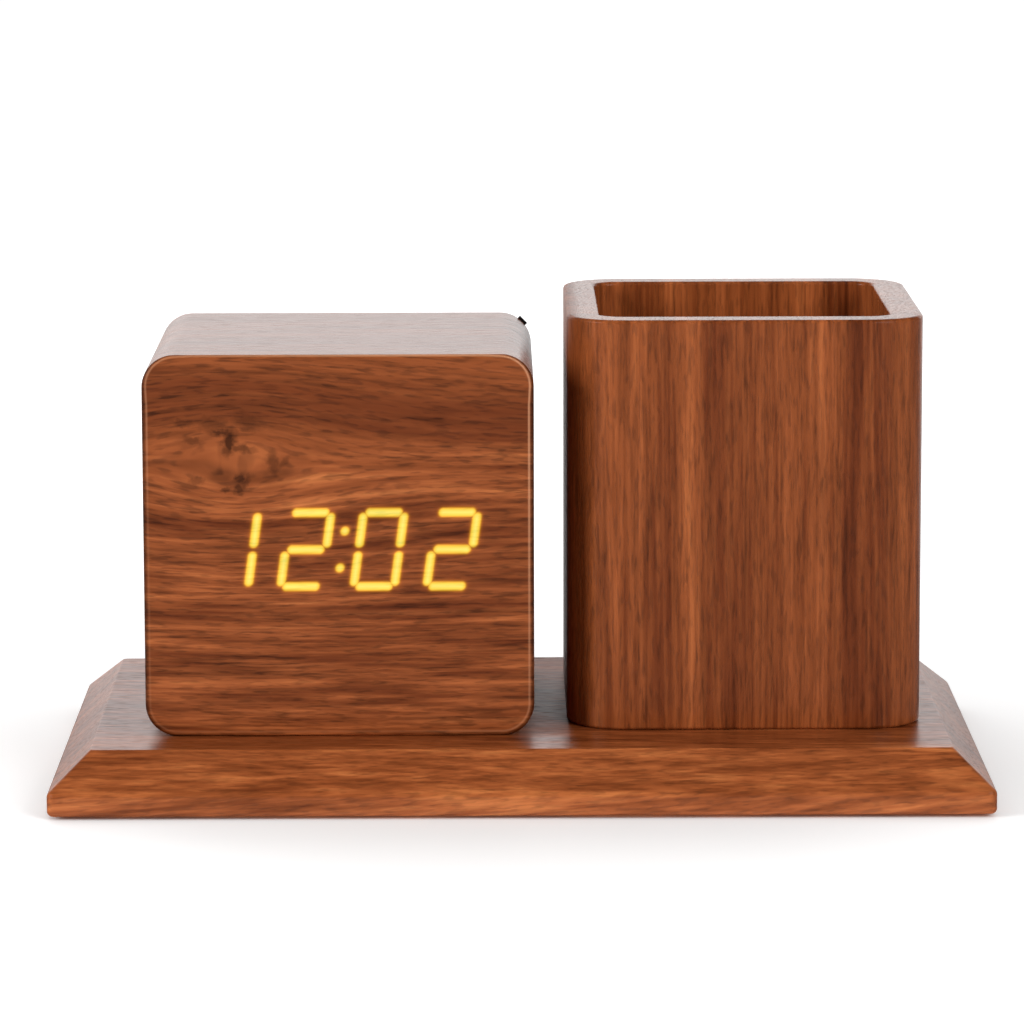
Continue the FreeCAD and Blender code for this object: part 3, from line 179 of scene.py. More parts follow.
# Painted light on the clock front's rounded edge: a highlight line, brighter towards the light from the upper
# right, and painted shade at the sides
edgeLightLook = {
    "line": [(0.8, 0), (0.85, 1), (0.9, 0)], "rim": [(0.86, 0), (0.94, 1)],  # over the corner's radius
    "topFrom": 0.6, "topTo": 0.8,    # how far up a place has to look to count as top
    "sideFrom": 0.4, "sideTo": 0.7,  # and how far sideways
    "rimDepth": 0.6,
    "pale": "#e6a67c", "faint": 0.08, "clear": 0.6,  # the painted highlight's colour and its least and greatest share
    "lightFrom": (0.6, 0, 0.8), "litFrom": -0.5, "litTo": 0.9,
}

knotLook = {
    "x": -70.0, "z": 83.2,                # mm, upper left of the clock's front
    "slim": 0.55,                         # height over width
    "eye": 14.0, "core": 14.3,            # mm, how far the grain bends round it
    "ragged": 0.8, "jitter": 2.4,         # per mm and mm, broken edges of the bark flecks
    "deep": 9,                            # mm, half of a fleck's depth into the wood
    "fadeFrom": 0.4, "fadeTo": 1.15,      # over a fleck's half sizes
    "darkness": 0.8,
    "flecks": [  # x, z, half length, half width in mm, tilt in degrees, depth of tone
        (-72.4, 90.5, 4.0, 1.1, 0, .85), (-70.6, 88.0, 4.2, 1.9, 80, 1), (-67.6, 86.4, 4.0, 1.2, -4, .7),
        (-66.3, 93.0, 4.4, 2.4, -18, .55), (-75.0, 92.6, 4.2, 2.0, 0, .5), (-82.0, 92.8, 3.2, 1.0, -5, .55),
        (-79.8, 88.6, 2.9, 1.0, -12, .5), (-60.0, 83.0, 3.8, 1.4, 96, .55), (-57.6, 83.0, 2.4, 1.0, 40, .5),
        (-68.3, 79.2, 1.4, 1.2, 0, .8), (-68.3, 76.5, 1.7, 1.4, 0, .8), (-66.9, 77.8, 2.9, 0.9, 64, .6),
        (-71.4, 76.5, 1.6, 0.8, 0, .7), (-78.6, 78.5, 2.3, 1.1, 10, .5),
    ],
}


def bendRoundKnot(tree, spot):
    # The grain follows the stream lines round a round obstacle
    parts = addNode(tree, "SeparateXYZ", {0: spot})
    x = addNode(tree, "Math", {0: parts.outputs[0], 1: knotLook["x"]}, operation="SUBTRACT").outputs[0]
    z = addNode(tree, "Math", {0: parts.outputs[2], 1: knotLook["z"]}, operation="SUBTRACT").outputs[0]
    slim = addNode(tree, "Math", {0: x, 1: knotLook["slim"]}, operation="MULTIPLY").outputs[0]
    flat = addNode(tree, "CombineXYZ", {0: slim, 2: z}).outputs[0]
    square = addNode(tree, "VectorMath", {0: flat, 1: flat}, operation="DOT_PRODUCT").outputs["Value"]
    far = addNode(tree, "Math", {0: square, 1: knotLook["core"] ** 2}, operation="ADD").outputs[0]
    pull = addNode(tree, "Math", {0: knotLook["eye"] ** 2, 1: far}, operation="DIVIDE").outputs[0]
    keep = addNode(tree, "Math", {0: 1, 1: pull}, operation="SUBTRACT").outputs[0]
    level = addNode(tree, "Math", {0: z, 1: keep}, operation="MULTIPLY").outputs[0]
    lift = addNode(tree, "Math", {0: level, 1: knotLook["z"]}, operation="ADD").outputs[0]
    return addNode(tree, "CombineXYZ", {0: parts.outputs[0], 1: parts.outputs[1], 2: lift}).outputs[0]


def knotFlecks(tree, spot):
    # Small dark bark flecks with broken edges
    noise = addNode(tree, "TexNoise", {"Vector": spot, "Scale": knotLook["ragged"], "Detail": 3})
    centred = addNode(tree, "VectorMath", {0: noise.outputs["Color"], 1: (.5, .5, .5)}, operation="SUBTRACT")
    jitter = addNode(tree, "VectorMath", {0: centred.outputs[0], "Scale": knotLook["jitter"]},
                     operation="SCALE").outputs[0]
    moved = addNode(tree, "VectorMath", {0: spot, 1: jitter}, operation="ADD").outputs[0]
    total = None
    for x, z, half, thin, tilt, depth in knotLook["flecks"]:
        turned = addNode(tree, "Mapping", {
            0: moved, "Location": (x, clockBlock["front"], z), "Rotation": (0, -math.radians(tilt), 0),
            "Scale": (half, knotLook["deep"], thin),
        }, vector_type="TEXTURE").outputs[0]
        reach = addNode(tree, "VectorMath", {0: turned}, operation="LENGTH").outputs["Value"]
        fade = addNode(tree, "MapRange", {0: reach, 1: knotLook["fadeFrom"], 2: knotLook["fadeTo"],
                                          3: depth, 4: 0}).outputs[0]
        total = addNode(tree, "Math", {0: total or 0, 1: fade}, operation="MAXIMUM").outputs[0]
    return total


def stretchedField(tree, spot, sway, along, length):
    # Coordinates squeezed along the grain, then swayed across it
    squeeze = [1 / length if axis == along else 1 for axis in range(3)]
    squeezed = addNode(tree, "VectorMath", {0: spot, 1: squeeze}, operation="MULTIPLY").outputs[0]
    return addNode(tree, "VectorMath", {0: squeezed, 1: sway}, operation="ADD").outputs[0]


def goRoundCase(tree, spot):
    # The wrapped veneer's grain runs over the top and down both sides, with its seam underneath
    parts = addNode(tree, "SeparateXYZ", {0: spot})
    x = addNode(tree, "Math", {0: parts.outputs[0], 1: clockBlock["x"]}, operation="SUBTRACT").outputs[0]
    down = addNode(tree, "Math", {0: clockBlock["top"], 1: parts.outputs[2]}, operation="SUBTRACT").outputs[0]
    side = addNode(tree, "Math", {0: x}, operation="SIGN").outputs[0]
    along = addNode(tree, "Math", {0: side, 1: down, 2: x}, operation="MULTIPLY_ADD").outputs[0]
    return addNode(tree, "CombineXYZ", {0: along, 1: parts.outputs[1]}).outputs[0]


def addSway(tree, lined, along):
    drift = addNode(tree, "TexNoise", {
        "Vector": stretchedField(tree, lined, (0, 0, 0), along, woodSway["length"] / woodSway["width"]),
        "Scale": 1 / woodSway["width"], "Detail": 2,
    })
    across = [0 if axis == along else woodSway["reach"] for axis in range(3)]
    centred = addNode(tree, "VectorMath", {0: drift.outputs["Color"], 1: (.5, .5, .5)}, operation="SUBTRACT")
    return addNode(tree, "VectorMath", {0: centred.outputs[0], 1: across}, operation="MULTIPLY").outputs[0]


def addBands(tree, look, spot, sway):
    # The broad light and dark stripes of this board
    parts = addNode(tree, "SeparateXYZ", {0: spot})
    swayParts = addNode(tree, "SeparateXYZ", {0: sway})
    axis = look["bandAxis"]
    place = addNode(tree, "Math", {0: parts.outputs[axis], 1: swayParts.outputs[axis]},
                    operation="ADD").outputs[0]
    share = addNode(tree, "MapRange", {0: place, 1: look["bandFrom"], 2: look["bandTo"]}).outputs[0]
    return addNode(tree, "ValToRGB", {0: share}, stops=look["bands"]).outputs[0]


def addGrain(tree, look, lined, sway):
    total = None
    for width, length, detail, weight in woodLayers:
        field = stretchedField(tree, lined, sway, look["along"], length * look["stretch"])
        layer = addNode(tree, "TexNoise", {"Vector": field, "Scale": 1 / width, "Detail": detail}).outputs[0]
        centred = addNode(tree, "Math", {0: layer, 1: 0.5}, operation="SUBTRACT").outputs[0]
        total = addNode(tree, "Math", {0: centred, 1: weight * look["contrast"], 2: total or 0},
                        operation="MULTIPLY_ADD").outputs[0]
    return total, layer


def addWood(tree, look):
    # Returns the colour, the pores and the fibres of a piece of walnut, and the place in mm
    raw = inMillimetres(tree)
    spot = raw
    if look.get("knot"):
        spot = bendRoundKnot(tree, raw)
    if look.get("wrapped"):
        spot = goRoundCase(tree, raw)
    turn = [math.radians(a) for a in look["turn"]]
    lined = addNode(tree, "Mapping", {0: spot, "Rotation": turn, "Location": look["shift"]}).outputs[0]
    sway = addSway(tree, lined, look["along"])
    grain, fibres = addGrain(tree, look, lined, sway)
    if "calmShare" in look:
        height = addNode(tree, "SeparateXYZ", {0: raw}).outputs[2]
        calm = addNode(tree, "MapRange", {0: height, 1: look["calmFrom"], 2: look["calmTo"], 3: 1,
                                          4: look["calmShare"]}).outputs[0]
        grain = addNode(tree, "Math", {0: grain, 1: calm}, operation="MULTIPLY").outputs[0]
    bands = addNode(tree, "Math", {0: addBands(tree, look, spot, sway), 1: look["bandShare"],
                                   2: 0.5 - look["bandShare"] / 2}, operation="MULTIPLY_ADD").outputs[0]
    total = addNode(tree, "Math", {0: bands, 1: grain}, operation="ADD").outputs[0]
    colour = addNode(tree, "ValToRGB", {0: total}, stops=walnutTones).outputs[0]
    shade = 1 + woodFinish["lift"] * look["dashes"]
    for width, length, start, end, depth in woodDashes:
        field = stretchedField(tree, lined, sway, look["along"], length)
        noise = addNode(tree, "TexNoise", {"Vector": field, "Scale": 1 / width, "Detail": 1})
        holes = addNode(tree, "MapRange", {0: noise.outputs[0], 1: start, 2: end}).outputs[0]
        shade = addNode(tree, "Math", {0: holes, 1: -depth * look["dashes"], 2: shade},
                        operation="MULTIPLY_ADD").outputs[0]
    if look.get("knot"):
        flecks = addNode(tree, "Math", {0: knotFlecks(tree, raw), 1: -knotLook["darkness"], 2: 1},
                         operation="MULTIPLY_ADD").outputs[0]
        shade = addNode(tree, "Math", {0: shade, 1: flecks}, operation="MULTIPLY").outputs[0]
    colour = addNode(tree, "Mix", {0: 1, 6: colour, 7: shade}, data_type="RGBA", blend_type="MULTIPLY")
    return colour.outputs[2], holes, fibres, raw


def dullGap(tree, raw):
    look = dullLook
    parts = addNode(tree, "SeparateXYZ", {0: raw})
    x = addNode(tree, "Math", {0: parts.outputs[0], 1: look["middle"]}, operation="SUBTRACT").outputs[0]
    away = addNode(tree, "Math", {0: x}, operation="ABSOLUTE").outputs[0]
    inGap = addNode(tree, "MapRange", {0: away, 1: look["half"], 2: look["half"] + look["fade"],
                                       3: look["rise"], 4: 0}).outputs[0]
    behind = addNode(tree, "MapRange", {0: parts.outputs[1], 1: look["frontFrom"],
                                        2: look["frontTo"]}).outputs[0]
    return addNode(tree, "Math", {0: inGap, 1: behind}, operation="MULTIPLY").outputs[0]


def lacquer(tree, surface, look, colour, holes, fibres, raw):
    # The lacquer sinks a little into the pores and follows the fibres faintly
    groove = addNode(tree, "Math", {0: holes, 1: -1}, operation="MULTIPLY").outputs[0]
    height = addNode(tree, "Math", {0: fibres, 1: woodFinish["fibreRise"], 2: groove},
                     operation="MULTIPLY_ADD").outputs[0]
    bump = addNode(tree, "Bump", {"Strength": look["bump"], "Distance": woodFinish["poreDepth"] * mm,
                                  "Height": height}).outputs[0]
    poreDullness = woodFinish["poreDullness"] * look["dashes"]
    dull = addNode(tree, "Math", {0: holes, 1: poreDullness, 2: look["roughness"]},
                   operation="MULTIPLY_ADD").outputs[0]
    if look.get("dull"):
        dull = addNode(tree, "Math", {0: dullGap(tree, raw), 1: dull}, operation="ADD").outputs[0]
    tree.links.new(colour, surface.inputs["Base Color"])
    tree.links.new(dull, surface.inputs["Roughness"])
    tree.links.new(bump, surface.inputs["Normal"])
    surface.inputs["IOR"].default_value = look["ior"]


def walnut(name, look):
    material, tree, surface = newMaterial(name)
    lacquer(tree, surface, woodLooks[look], *addWood(tree, woodLooks[look]))
    return material


def paintEdgeHighlightAndShade(tree, raw, colour):
    # A painted highlight, a pale line along the front's rounded edge, and painted shade in the outermost band
    # at the sides.
    # At the top the line lies 1 mm farther out.
    look, corner = edgeLightLook, clockBlock["corner"]
    halfHeight = (clockBlock["top"] - clockBlock["bottom"]) / 2
    middle = (clockBlock["x"], 0, clockBlock["bottom"] + halfHeight)
    away = addNode(tree, "VectorMath", {0: raw, 1: middle}, operation="SUBTRACT").outputs[0]
    away = addNode(tree, "VectorMath", {0: away, 1: (1, 0, 1)}, operation="MULTIPLY").outputs[0]
    size = addNode(tree, "VectorMath", {0: away}, operation="ABSOLUTE").outputs[0]
    straight = (clockBlock["width"] / 2 - corner, 0, halfHeight - corner)
    past = addNode(tree, "VectorMath", {0: size, 1: straight}, operation="SUBTRACT").outputs[0]
    outside = addNode(tree, "VectorMath", {0: past, 1: (0, 0, 0)}, operation="MAXIMUM").outputs[0]
    reach = addNode(tree, "VectorMath", {0: outside}, operation="LENGTH").outputs["Value"]
    way = addNode(tree, "VectorMath", {0: away}, operation="NORMALIZE").outputs[0]
    parts = addNode(tree, "SeparateXYZ", {0: way})
    atTop = addNode(tree, "MapRange", {0: parts.outputs[2], 1: look["topFrom"], 2: look["topTo"]}).outputs[0]
    place = addNode(tree, "Math", {0: reach, 1: atTop}, operation="SUBTRACT").outputs[0]
    place = addNode(tree, "Math", {0: place, 1: corner}, operation="DIVIDE").outputs[0]
    line = addNode(tree, "ValToRGB", {0: place}, stops=look["line"]).outputs[0]
    # the painted highlight is strongest where the edge faces the light
    lit = addNode(tree, "VectorMath", {0: way, 1: look["lightFrom"]}, operation="DOT_PRODUCT")
    share = addNode(tree, "MapRange", {0: lit.outputs["Value"], 1: look["litFrom"], 2: look["litTo"],
                                       3: look["faint"], 4: look["clear"]}).outputs[0]
    share = addNode(tree, "Math", {0: line, 1: share}, operation="MULTIPLY").outputs[0]
    lined = addNode(tree, "Mix", {0: share, 6: colour, 7: toLinear(look["pale"])}, data_type="RGBA")
    rim = addNode(tree, "ValToRGB", {0: place}, stops=look["rim"]).outputs[0]
    across = addNode(tree, "Math", {0: parts.outputs[0]}, operation="ABSOLUTE").outputs[0]
    atSide = addNode(tree, "MapRange", {0: across, 1: look["sideFrom"], 2: look["sideTo"], 3: 0,
                                        4: -look["rimDepth"]}).outputs[0]
    shade = addNode(tree, "Math", {0: rim, 1: atSide, 2: 1}, operation="MULTIPLY_ADD").outputs[0]
    edged = addNode(tree, "Mix", {0: 1, 6: lined.outputs[2], 7: shade}, data_type="RGBA",
                    blend_type="MULTIPLY")
    return edged.outputs[2]


# The display shines through the clock's front veneer. It shows 12:02.

displayLook = {
    "x": -43.4, "z": 61.6,          # mm, the middle between the colon's dots
    "pitch": 17.78,                 # mm from digit to digit
    "width": 9.9, "height": 18.2,   # mm, between the middles of opposite segments
    "slant": math.radians(8),
    "lineWidth": 2.2,               # mm
    "middleGap": 0.9, "cornerGap": 0.1, "flatGap": 0.8,  # mm, between the ends of two segments
    "dotPitch": 9.1,                # mm
    "digits": ["bc", "abged", "abcdef", "abged"],
    "glowReach": 4,                 # mm from a segment's middle line
    "glow": [  # over that reach
        (0.0, "#f0e872"), (0.14, "#ecdb54"), (0.215, "#e6c43c"), (0.265, "#ca9824"), (0.31, "#946408"),
        (0.37, "#5c3204"), (0.48, "#2c1202"), (0.7, "#000000"),
    ],
    "fibreShade": 0.2, "poreShade": 0.08,  # how much the veneer's figure shades the light
}


def litSegments():
    # The middle and the half length, across and up, of each lit segment of an upright digit
    look = displayLook
    halfWidth, halfHeight = look["width"] / 2, look["height"] / 2
    end = look["lineWidth"] / 2
    flat = (halfWidth - look["flatGap"] / 2 - end, 0)
    tall = (0, (halfHeight - look["middleGap"] / 2 - look["cornerGap"] / 2) / 2 - end)
    rise = (halfHeight + look["middleGap"] / 2 - look["cornerGap"] / 2) / 2
    places = {
        "a": ((0, halfHeight), flat), "g": ((0, 0), flat), "d": ((0, -halfHeight), flat),
        "b": ((halfWidth, rise), tall), "c": ((halfWidth, -rise), tall),
        "f": ((-halfWidth, rise), tall), "e": ((-halfWidth, -rise), tall),
    }
    found = []
    for index, letters in enumerate(look["digits"]):
        for letter in letters:
            (x, z), half = places[letter]
            found.append((x + (index - 1.5) * look["pitch"], z, *half))
    for side in (-1, 1):
        found.append((0, side * look["dotPitch"] / 2, 0, 0))
    return found


def nearestSegment(tree, raw):
    # Distance in mm from the middle line of the nearest lit segment
    look = displayLook
    parts = addNode(tree, "SeparateXYZ", {0: raw})
    z = addNode(tree, "Math", {0: parts.outputs[2], 1: look["z"]}, operation="SUBTRACT").outputs[0]
    lean = addNode(tree, "Math", {0: z, 1: -math.tan(look["slant"]), 2: parts.outputs[0]},
                   operation="MULTIPLY_ADD").outputs[0]
    x = addNode(tree, "Math", {0: lean, 1: look["x"]}, operation="SUBTRACT").outputs[0]
    upright = addNode(tree, "CombineXYZ", {0: x, 2: z}).outputs[0]
    nearest = None
    for x, z, halfX, halfZ in litSegments():
        away = addNode(tree, "VectorMath", {0: upright, 1: (x, 0, z)}, operation="SUBTRACT").outputs[0]
        size = addNode(tree, "VectorMath", {0: away}, operation="ABSOLUTE").outputs[0]
        past = addNode(tree, "VectorMath", {0: size, 1: (halfX, 0, halfZ)}, operation="SUBTRACT").outputs[0]
        outside = addNode(tree, "VectorMath", {0: past, 1: (0, 0, 0)}, operation="MAXIMUM").outputs[0]
        reach = addNode(tree, "VectorMath", {0: outside}, operation="LENGTH").outputs["Value"]
        nearest = reach if nearest is None else addNode(tree, "Math", {0: nearest, 1: reach},
                                                        operation="MINIMUM").outputs[0]
    return nearest


def clockFront():
    material, tree, surface = newMaterial("lacquered walnut veneer, lit from behind")
    colour, holes, fibres, raw = addWood(tree, woodLooks["clockFront"])
    # a painted highlight and painted shade along the front's rounded edge
    colour = paintEdgeHighlightAndShade(tree, raw, colour)
    lacquer(tree, surface, woodLooks["clockFront"], colour, holes, fibres, raw)
    reach = nearestSegment(tree, raw)
    place = addNode(tree, "MapRange", {0: reach, 1: 0, 2: displayLook["glowReach"]}).outputs[0]
    glow = addNode(tree, "ValToRGB", {0: place}, stops=displayLook["glow"]).outputs[0]
    fibreShade, poreShade = displayLook["fibreShade"], displayLook["poreShade"]
    shade = addNode(tree, "Math", {0: fibres, 1: fibreShade, 2: 1 - fibreShade / 2},
                    operation="MULTIPLY_ADD").outputs[0]
    shade = addNode(tree, "Math", {0: holes, 1: -poreShade, 2: shade}, operation="MULTIPLY_ADD").outputs[0]
    light = addNode(tree, "Mix", {0: 1, 6: glow, 7: shade}, data_type="RGBA", blend_type="MULTIPLY")
    tree.links.new(light.outputs[2], surface.inputs["Emission Color"])
    surface.inputs["Emission Strength"].default_value = 1
    return material


dress("front_veneer", clockFront())
dress("wrap_veneer", walnut("lacquered walnut veneer, wrapped", "clockWrap"))
dress("cup_walls", walnut("lacquered walnut, upright grain", "cup"))
dress("cup_floor", walnut("oiled walnut, cup floor", "cupFloor"))
dress("plinth", walnut("lacquered walnut board", "plinth"))
print("wood dressed")


# Plastics, metals and boards

grainLook = {
    "broad": 14, "tint": 0.12,   # mm, wide drifts of tone and their share
    "dullness": 0.06,            # how far the grit moves the roughness
    "relief": 0.6,
}


def grainy(name, colour, roughness, grit, depth, metallic=0.0, stretch=(1, 1, 1)):
    # A plain colour broken up by a fine grit that also shows in the gloss, with its size and depth in mm
    material, tree, surface = newMaterial(name)
    spot = inMillimetres(tree)
    lined = addNode(tree, "VectorMath", {0: spot, 1: stretch}, operation="MULTIPLY").outputs[0]
    fine = addNode(tree, "TexNoise", {"Vector": lined, "Scale": 1 / grit, "Detail": 2})
    broad = addNode(tree, "TexNoise", {"Vector": spot, "Scale": 1 / grainLook["broad"], "Detail": 3})
    low, high = noiseSpan
    tint = addNode(tree, "MapRange", {0: broad.outputs[0], 1: low, 2: high, 3: 1 - grainLook["tint"],
                                      4: 1 + grainLook["tint"]})
    shade = addNode(tree, "Mix", {0: 1, 6: toLinear(colour), 7: tint.outputs[0]}, data_type="RGBA",
                    blend_type="MULTIPLY")
    tree.links.new(shade.outputs[2], surface.inputs["Base Color"])
    rough = addNode(tree, "MapRange", {0: fine.outputs[0], 1: low, 2: high,
                                       3: roughness - grainLook["dullness"],
                                       4: roughness + grainLook["dullness"]})
    tree.links.new(rough.outputs[0], surface.inputs["Roughness"])
    bump = addNode(tree, "Bump", {"Strength": grainLook["relief"], "Distance": depth * mm,
                                  "Height": fine.outputs[0]})
    tree.links.new(bump.outputs[0], surface.inputs["Normal"])
    surface.inputs["Metallic"].default_value = metallic
    return material


cellLook = {  # mm, the middle cell's height and half pitch, how far a cell lies off centre, half its film
    "z": 45.8, "middleCell": 5.5, "shift": 2, "film": 21.1,
}

nickelTone = "#c9c6bf"


def cellSleeve():
    # A glossy film in plain blue round each cell. It leaves the steel ends bare, and the middle cell lies
    # the other way round.
    material = grainy("shrink film on a cell, plain blue", "#24436f", 0.25, 0.4, 0.01)
    tree = material.node_tree
    surface = tree.nodes["Principled BSDF"]
    film = surface.inputs["Base Color"].links[0].from_socket
    parts = addNode(tree, "SeparateXYZ", {0: inMillimetres(tree)})
    x = addNode(tree, "Math", {0: parts.outputs[0], 1: clockBlock["x"]}, operation="SUBTRACT").outputs[0]
    z = addNode(tree, "Math", {0: parts.outputs[2], 1: cellLook["z"]}, operation="SUBTRACT").outputs[0]
    up = addNode(tree, "Math", {0: z}, operation="ABSOLUTE").outputs[0]
    outer = addNode(tree, "Math", {0: up, 1: cellLook["middleCell"]}, operation="SUBTRACT").outputs[0]
    side = addNode(tree, "Math", {0: outer}, operation="SIGN").outputs[0]
    place = addNode(tree, "Math", {0: x, 1: side, 2: -cellLook["shift"]}, operation="MULTIPLY_ADD")
    far = addNode(tree, "Math", {0: place.outputs[0]}, operation="ABSOLUTE").outputs[0]
    bare = addNode(tree, "Math", {0: far, 1: cellLook["film"]}, operation="GREATER_THAN").outputs[0]
    colour = addNode(tree, "Mix", {0: bare, 6: film, 7: toLinear(nickelTone)}, data_type="RGBA")
    tree.links.new(colour.outputs[2], surface.inputs["Base Color"])
    tree.links.new(bare, surface.inputs["Metallic"])
    return material


# The grit of the moulded and cast finishes is finer than this on the real ones, and drawn coarse enough
# to show.

# Moulded in an eroded steel tool: an even matt black that breaks up every highlight
blackAbs = grainy("black ABS, spark-eroded mould", "#1d1d1f", 0.52, 0.35, 0.05)
# The same plastic left smoother for the finger: a soft highlight of its own
buttonAbs = grainy("black ABS, smoother button", "#232325", 0.38, 0.3, 0.02)
# Cut cells and no sheen at all
foam = grainy("black closed-cell foam", "#1a1a1a", 0.9, 0.5, 0.12)
# Dull tan with a fine felt of wood fibres
fibreboard = grainy("raw fibreboard, sawn", "#9a7650", 0.85, 0.4, 0.06)
# Bright and clean, with a moderate gloss
whitePc = grainy("white polycarbonate, moulded", "#e9e8e3", 0.4, 0.5, 0.01)
# Warm yellow with a glassy top
resin = grainy("amber resin, poured", "#ffdf7a", 0.15, 0.6, 0.01)
# A small warm yellow block, half gloss
ledChip = grainy("lit amber chip", "#ffcf50", 0.4, 0.6, 0.01)
# Cream white with a satin face
milkyFilm = grainy("milky diffuser film", "#e8e4da", 0.5, 0.3, 0.01)
# Deep green with the gloss of a thin, slightly uneven coat
maskGreen = grainy("green solder mask on glass epoxy", "#1c5a35", 0.35, 0.8, 0.02)
# Charcoal and matt, with a fine filler grit
epoxyBlack = grainy("black moulded epoxy", "#1e1e20", 0.6, 0.25, 0.02)
# Warm white and a little waxy
nylon = grainy("natural nylon, moulded", "#e4e0d2", 0.35, 0.4, 0.01)
# Bright warm grey with faint lines the way it was rolled
nickel = grainy("nickel-plated sheet steel, rolled", nickelTone, 0.28, 0.2, 0.01, metallic=1.0,
                stretch=(0.1, 1, 1))
# Nearly black, with a dull metal glint on its edges
blackSteel = grainy("black oxide steel", "#2b2b2d", 0.38, 0.2, 0.01, metallic=0.8)
# Pale gold, cleaner and brighter than brass
yellowZinc = grainy("yellow zinc-plated steel", "#d8c27a", 0.3, 0.2, 0.01, metallic=1.0)
# Plain grey with the soft gloss of a flexible plastic
greyRibbon = grainy("grey PVC ribbon", "#9a9a98", 0.45, 0.3, 0.02)

for group, material in (
    (["rear_cover", "battery_door"], blackAbs),
    (["set_button", "up_button", "down_button", "switch_knob"], buttonAbs),
    (["foot_pads"], foam),
    (["clock_case"], fibreboard),
    (["display_reflector", "board_spacers"], whitePc),
    (["segment_lenses"], resin),
    (["segment_leds"], ledChip),
    (["diffuser_film"], milkyFilm),
    (["display_board", "control_board"], maskGreen),
    (["clock_chip", "buzzer", "temperature_sensor", "tact_switches", "slide_switch"], epoxyBlack),
    (["set_plunger", "up_plunger", "down_plunger", "ribbon_plugs"], nylon),
    (["quartz_crystal", "microphone", "usb_socket", "battery_springs", "battery_plates"], nickel),
    (["rear_cover_screws", "board_screws", "control_board_screws"], blackSteel),
    (["clock_screws", "cup_screws"], yellowZinc),
    (["ribbon_cable"], greyRibbon),
    (["batteries"], cellSleeve()),
):
    for name in group:
        dress(name, material)
print("plastics and metals dressed")


# Floor, lamps and camera

stageLook = {
    "floorSize": 30, "floorColour": "#dedede",
    "whiteFrom": 0.07, "whiteTo": 1.2,  # m, where the paper's own white takes over from the lamps; kept low close to the set, it paints part of the soft shadow there
    "white": [(0.0, .49), (0.07, .62), (0.25, .74), (1.0, .95)],
    "shadeReach": 0.12,  # m, the soft shadow beside the plinth
    "darkFrom": 0.65, "darkTo": 0.85,  # polished sides see bright paper only behind them
    "darkShare": 0.1, "brightShare": 0.6,
    "underFrom": 0.004, "underTo": 0.03, "underLight": 0.7,  # m, paper just below the set
    "worldGrey": 0.055,
    "flagFrom": 0.7, "flagTo": 0.88, "flag": 0.05, "sweep": 1.35,  # what polished wood sees round it
    "patchFrom": 0.9, "patchTo": 0.985, "patch": 0.9,
    "aim": (0, 0, 0.05),
    "lamps": {  # azimuth to the right of the front and height in degrees, distance and size in m, power in W
        "right": {"azimuth": 38, "height": 24, "away": 1.7, "size": 0.8, "power": 19},
        "left": {"azimuth": -62, "height": 20, "away": 1.7, "size": 0.6, "power": 20},
        "behind": {"azimuth": 175, "height": 50, "away": 1.6, "size": 1.2, "power": 8},
        "back": {"azimuth": 205, "height": 12, "away": 1.8, "size": 1.0, "power": 14},
    },
}


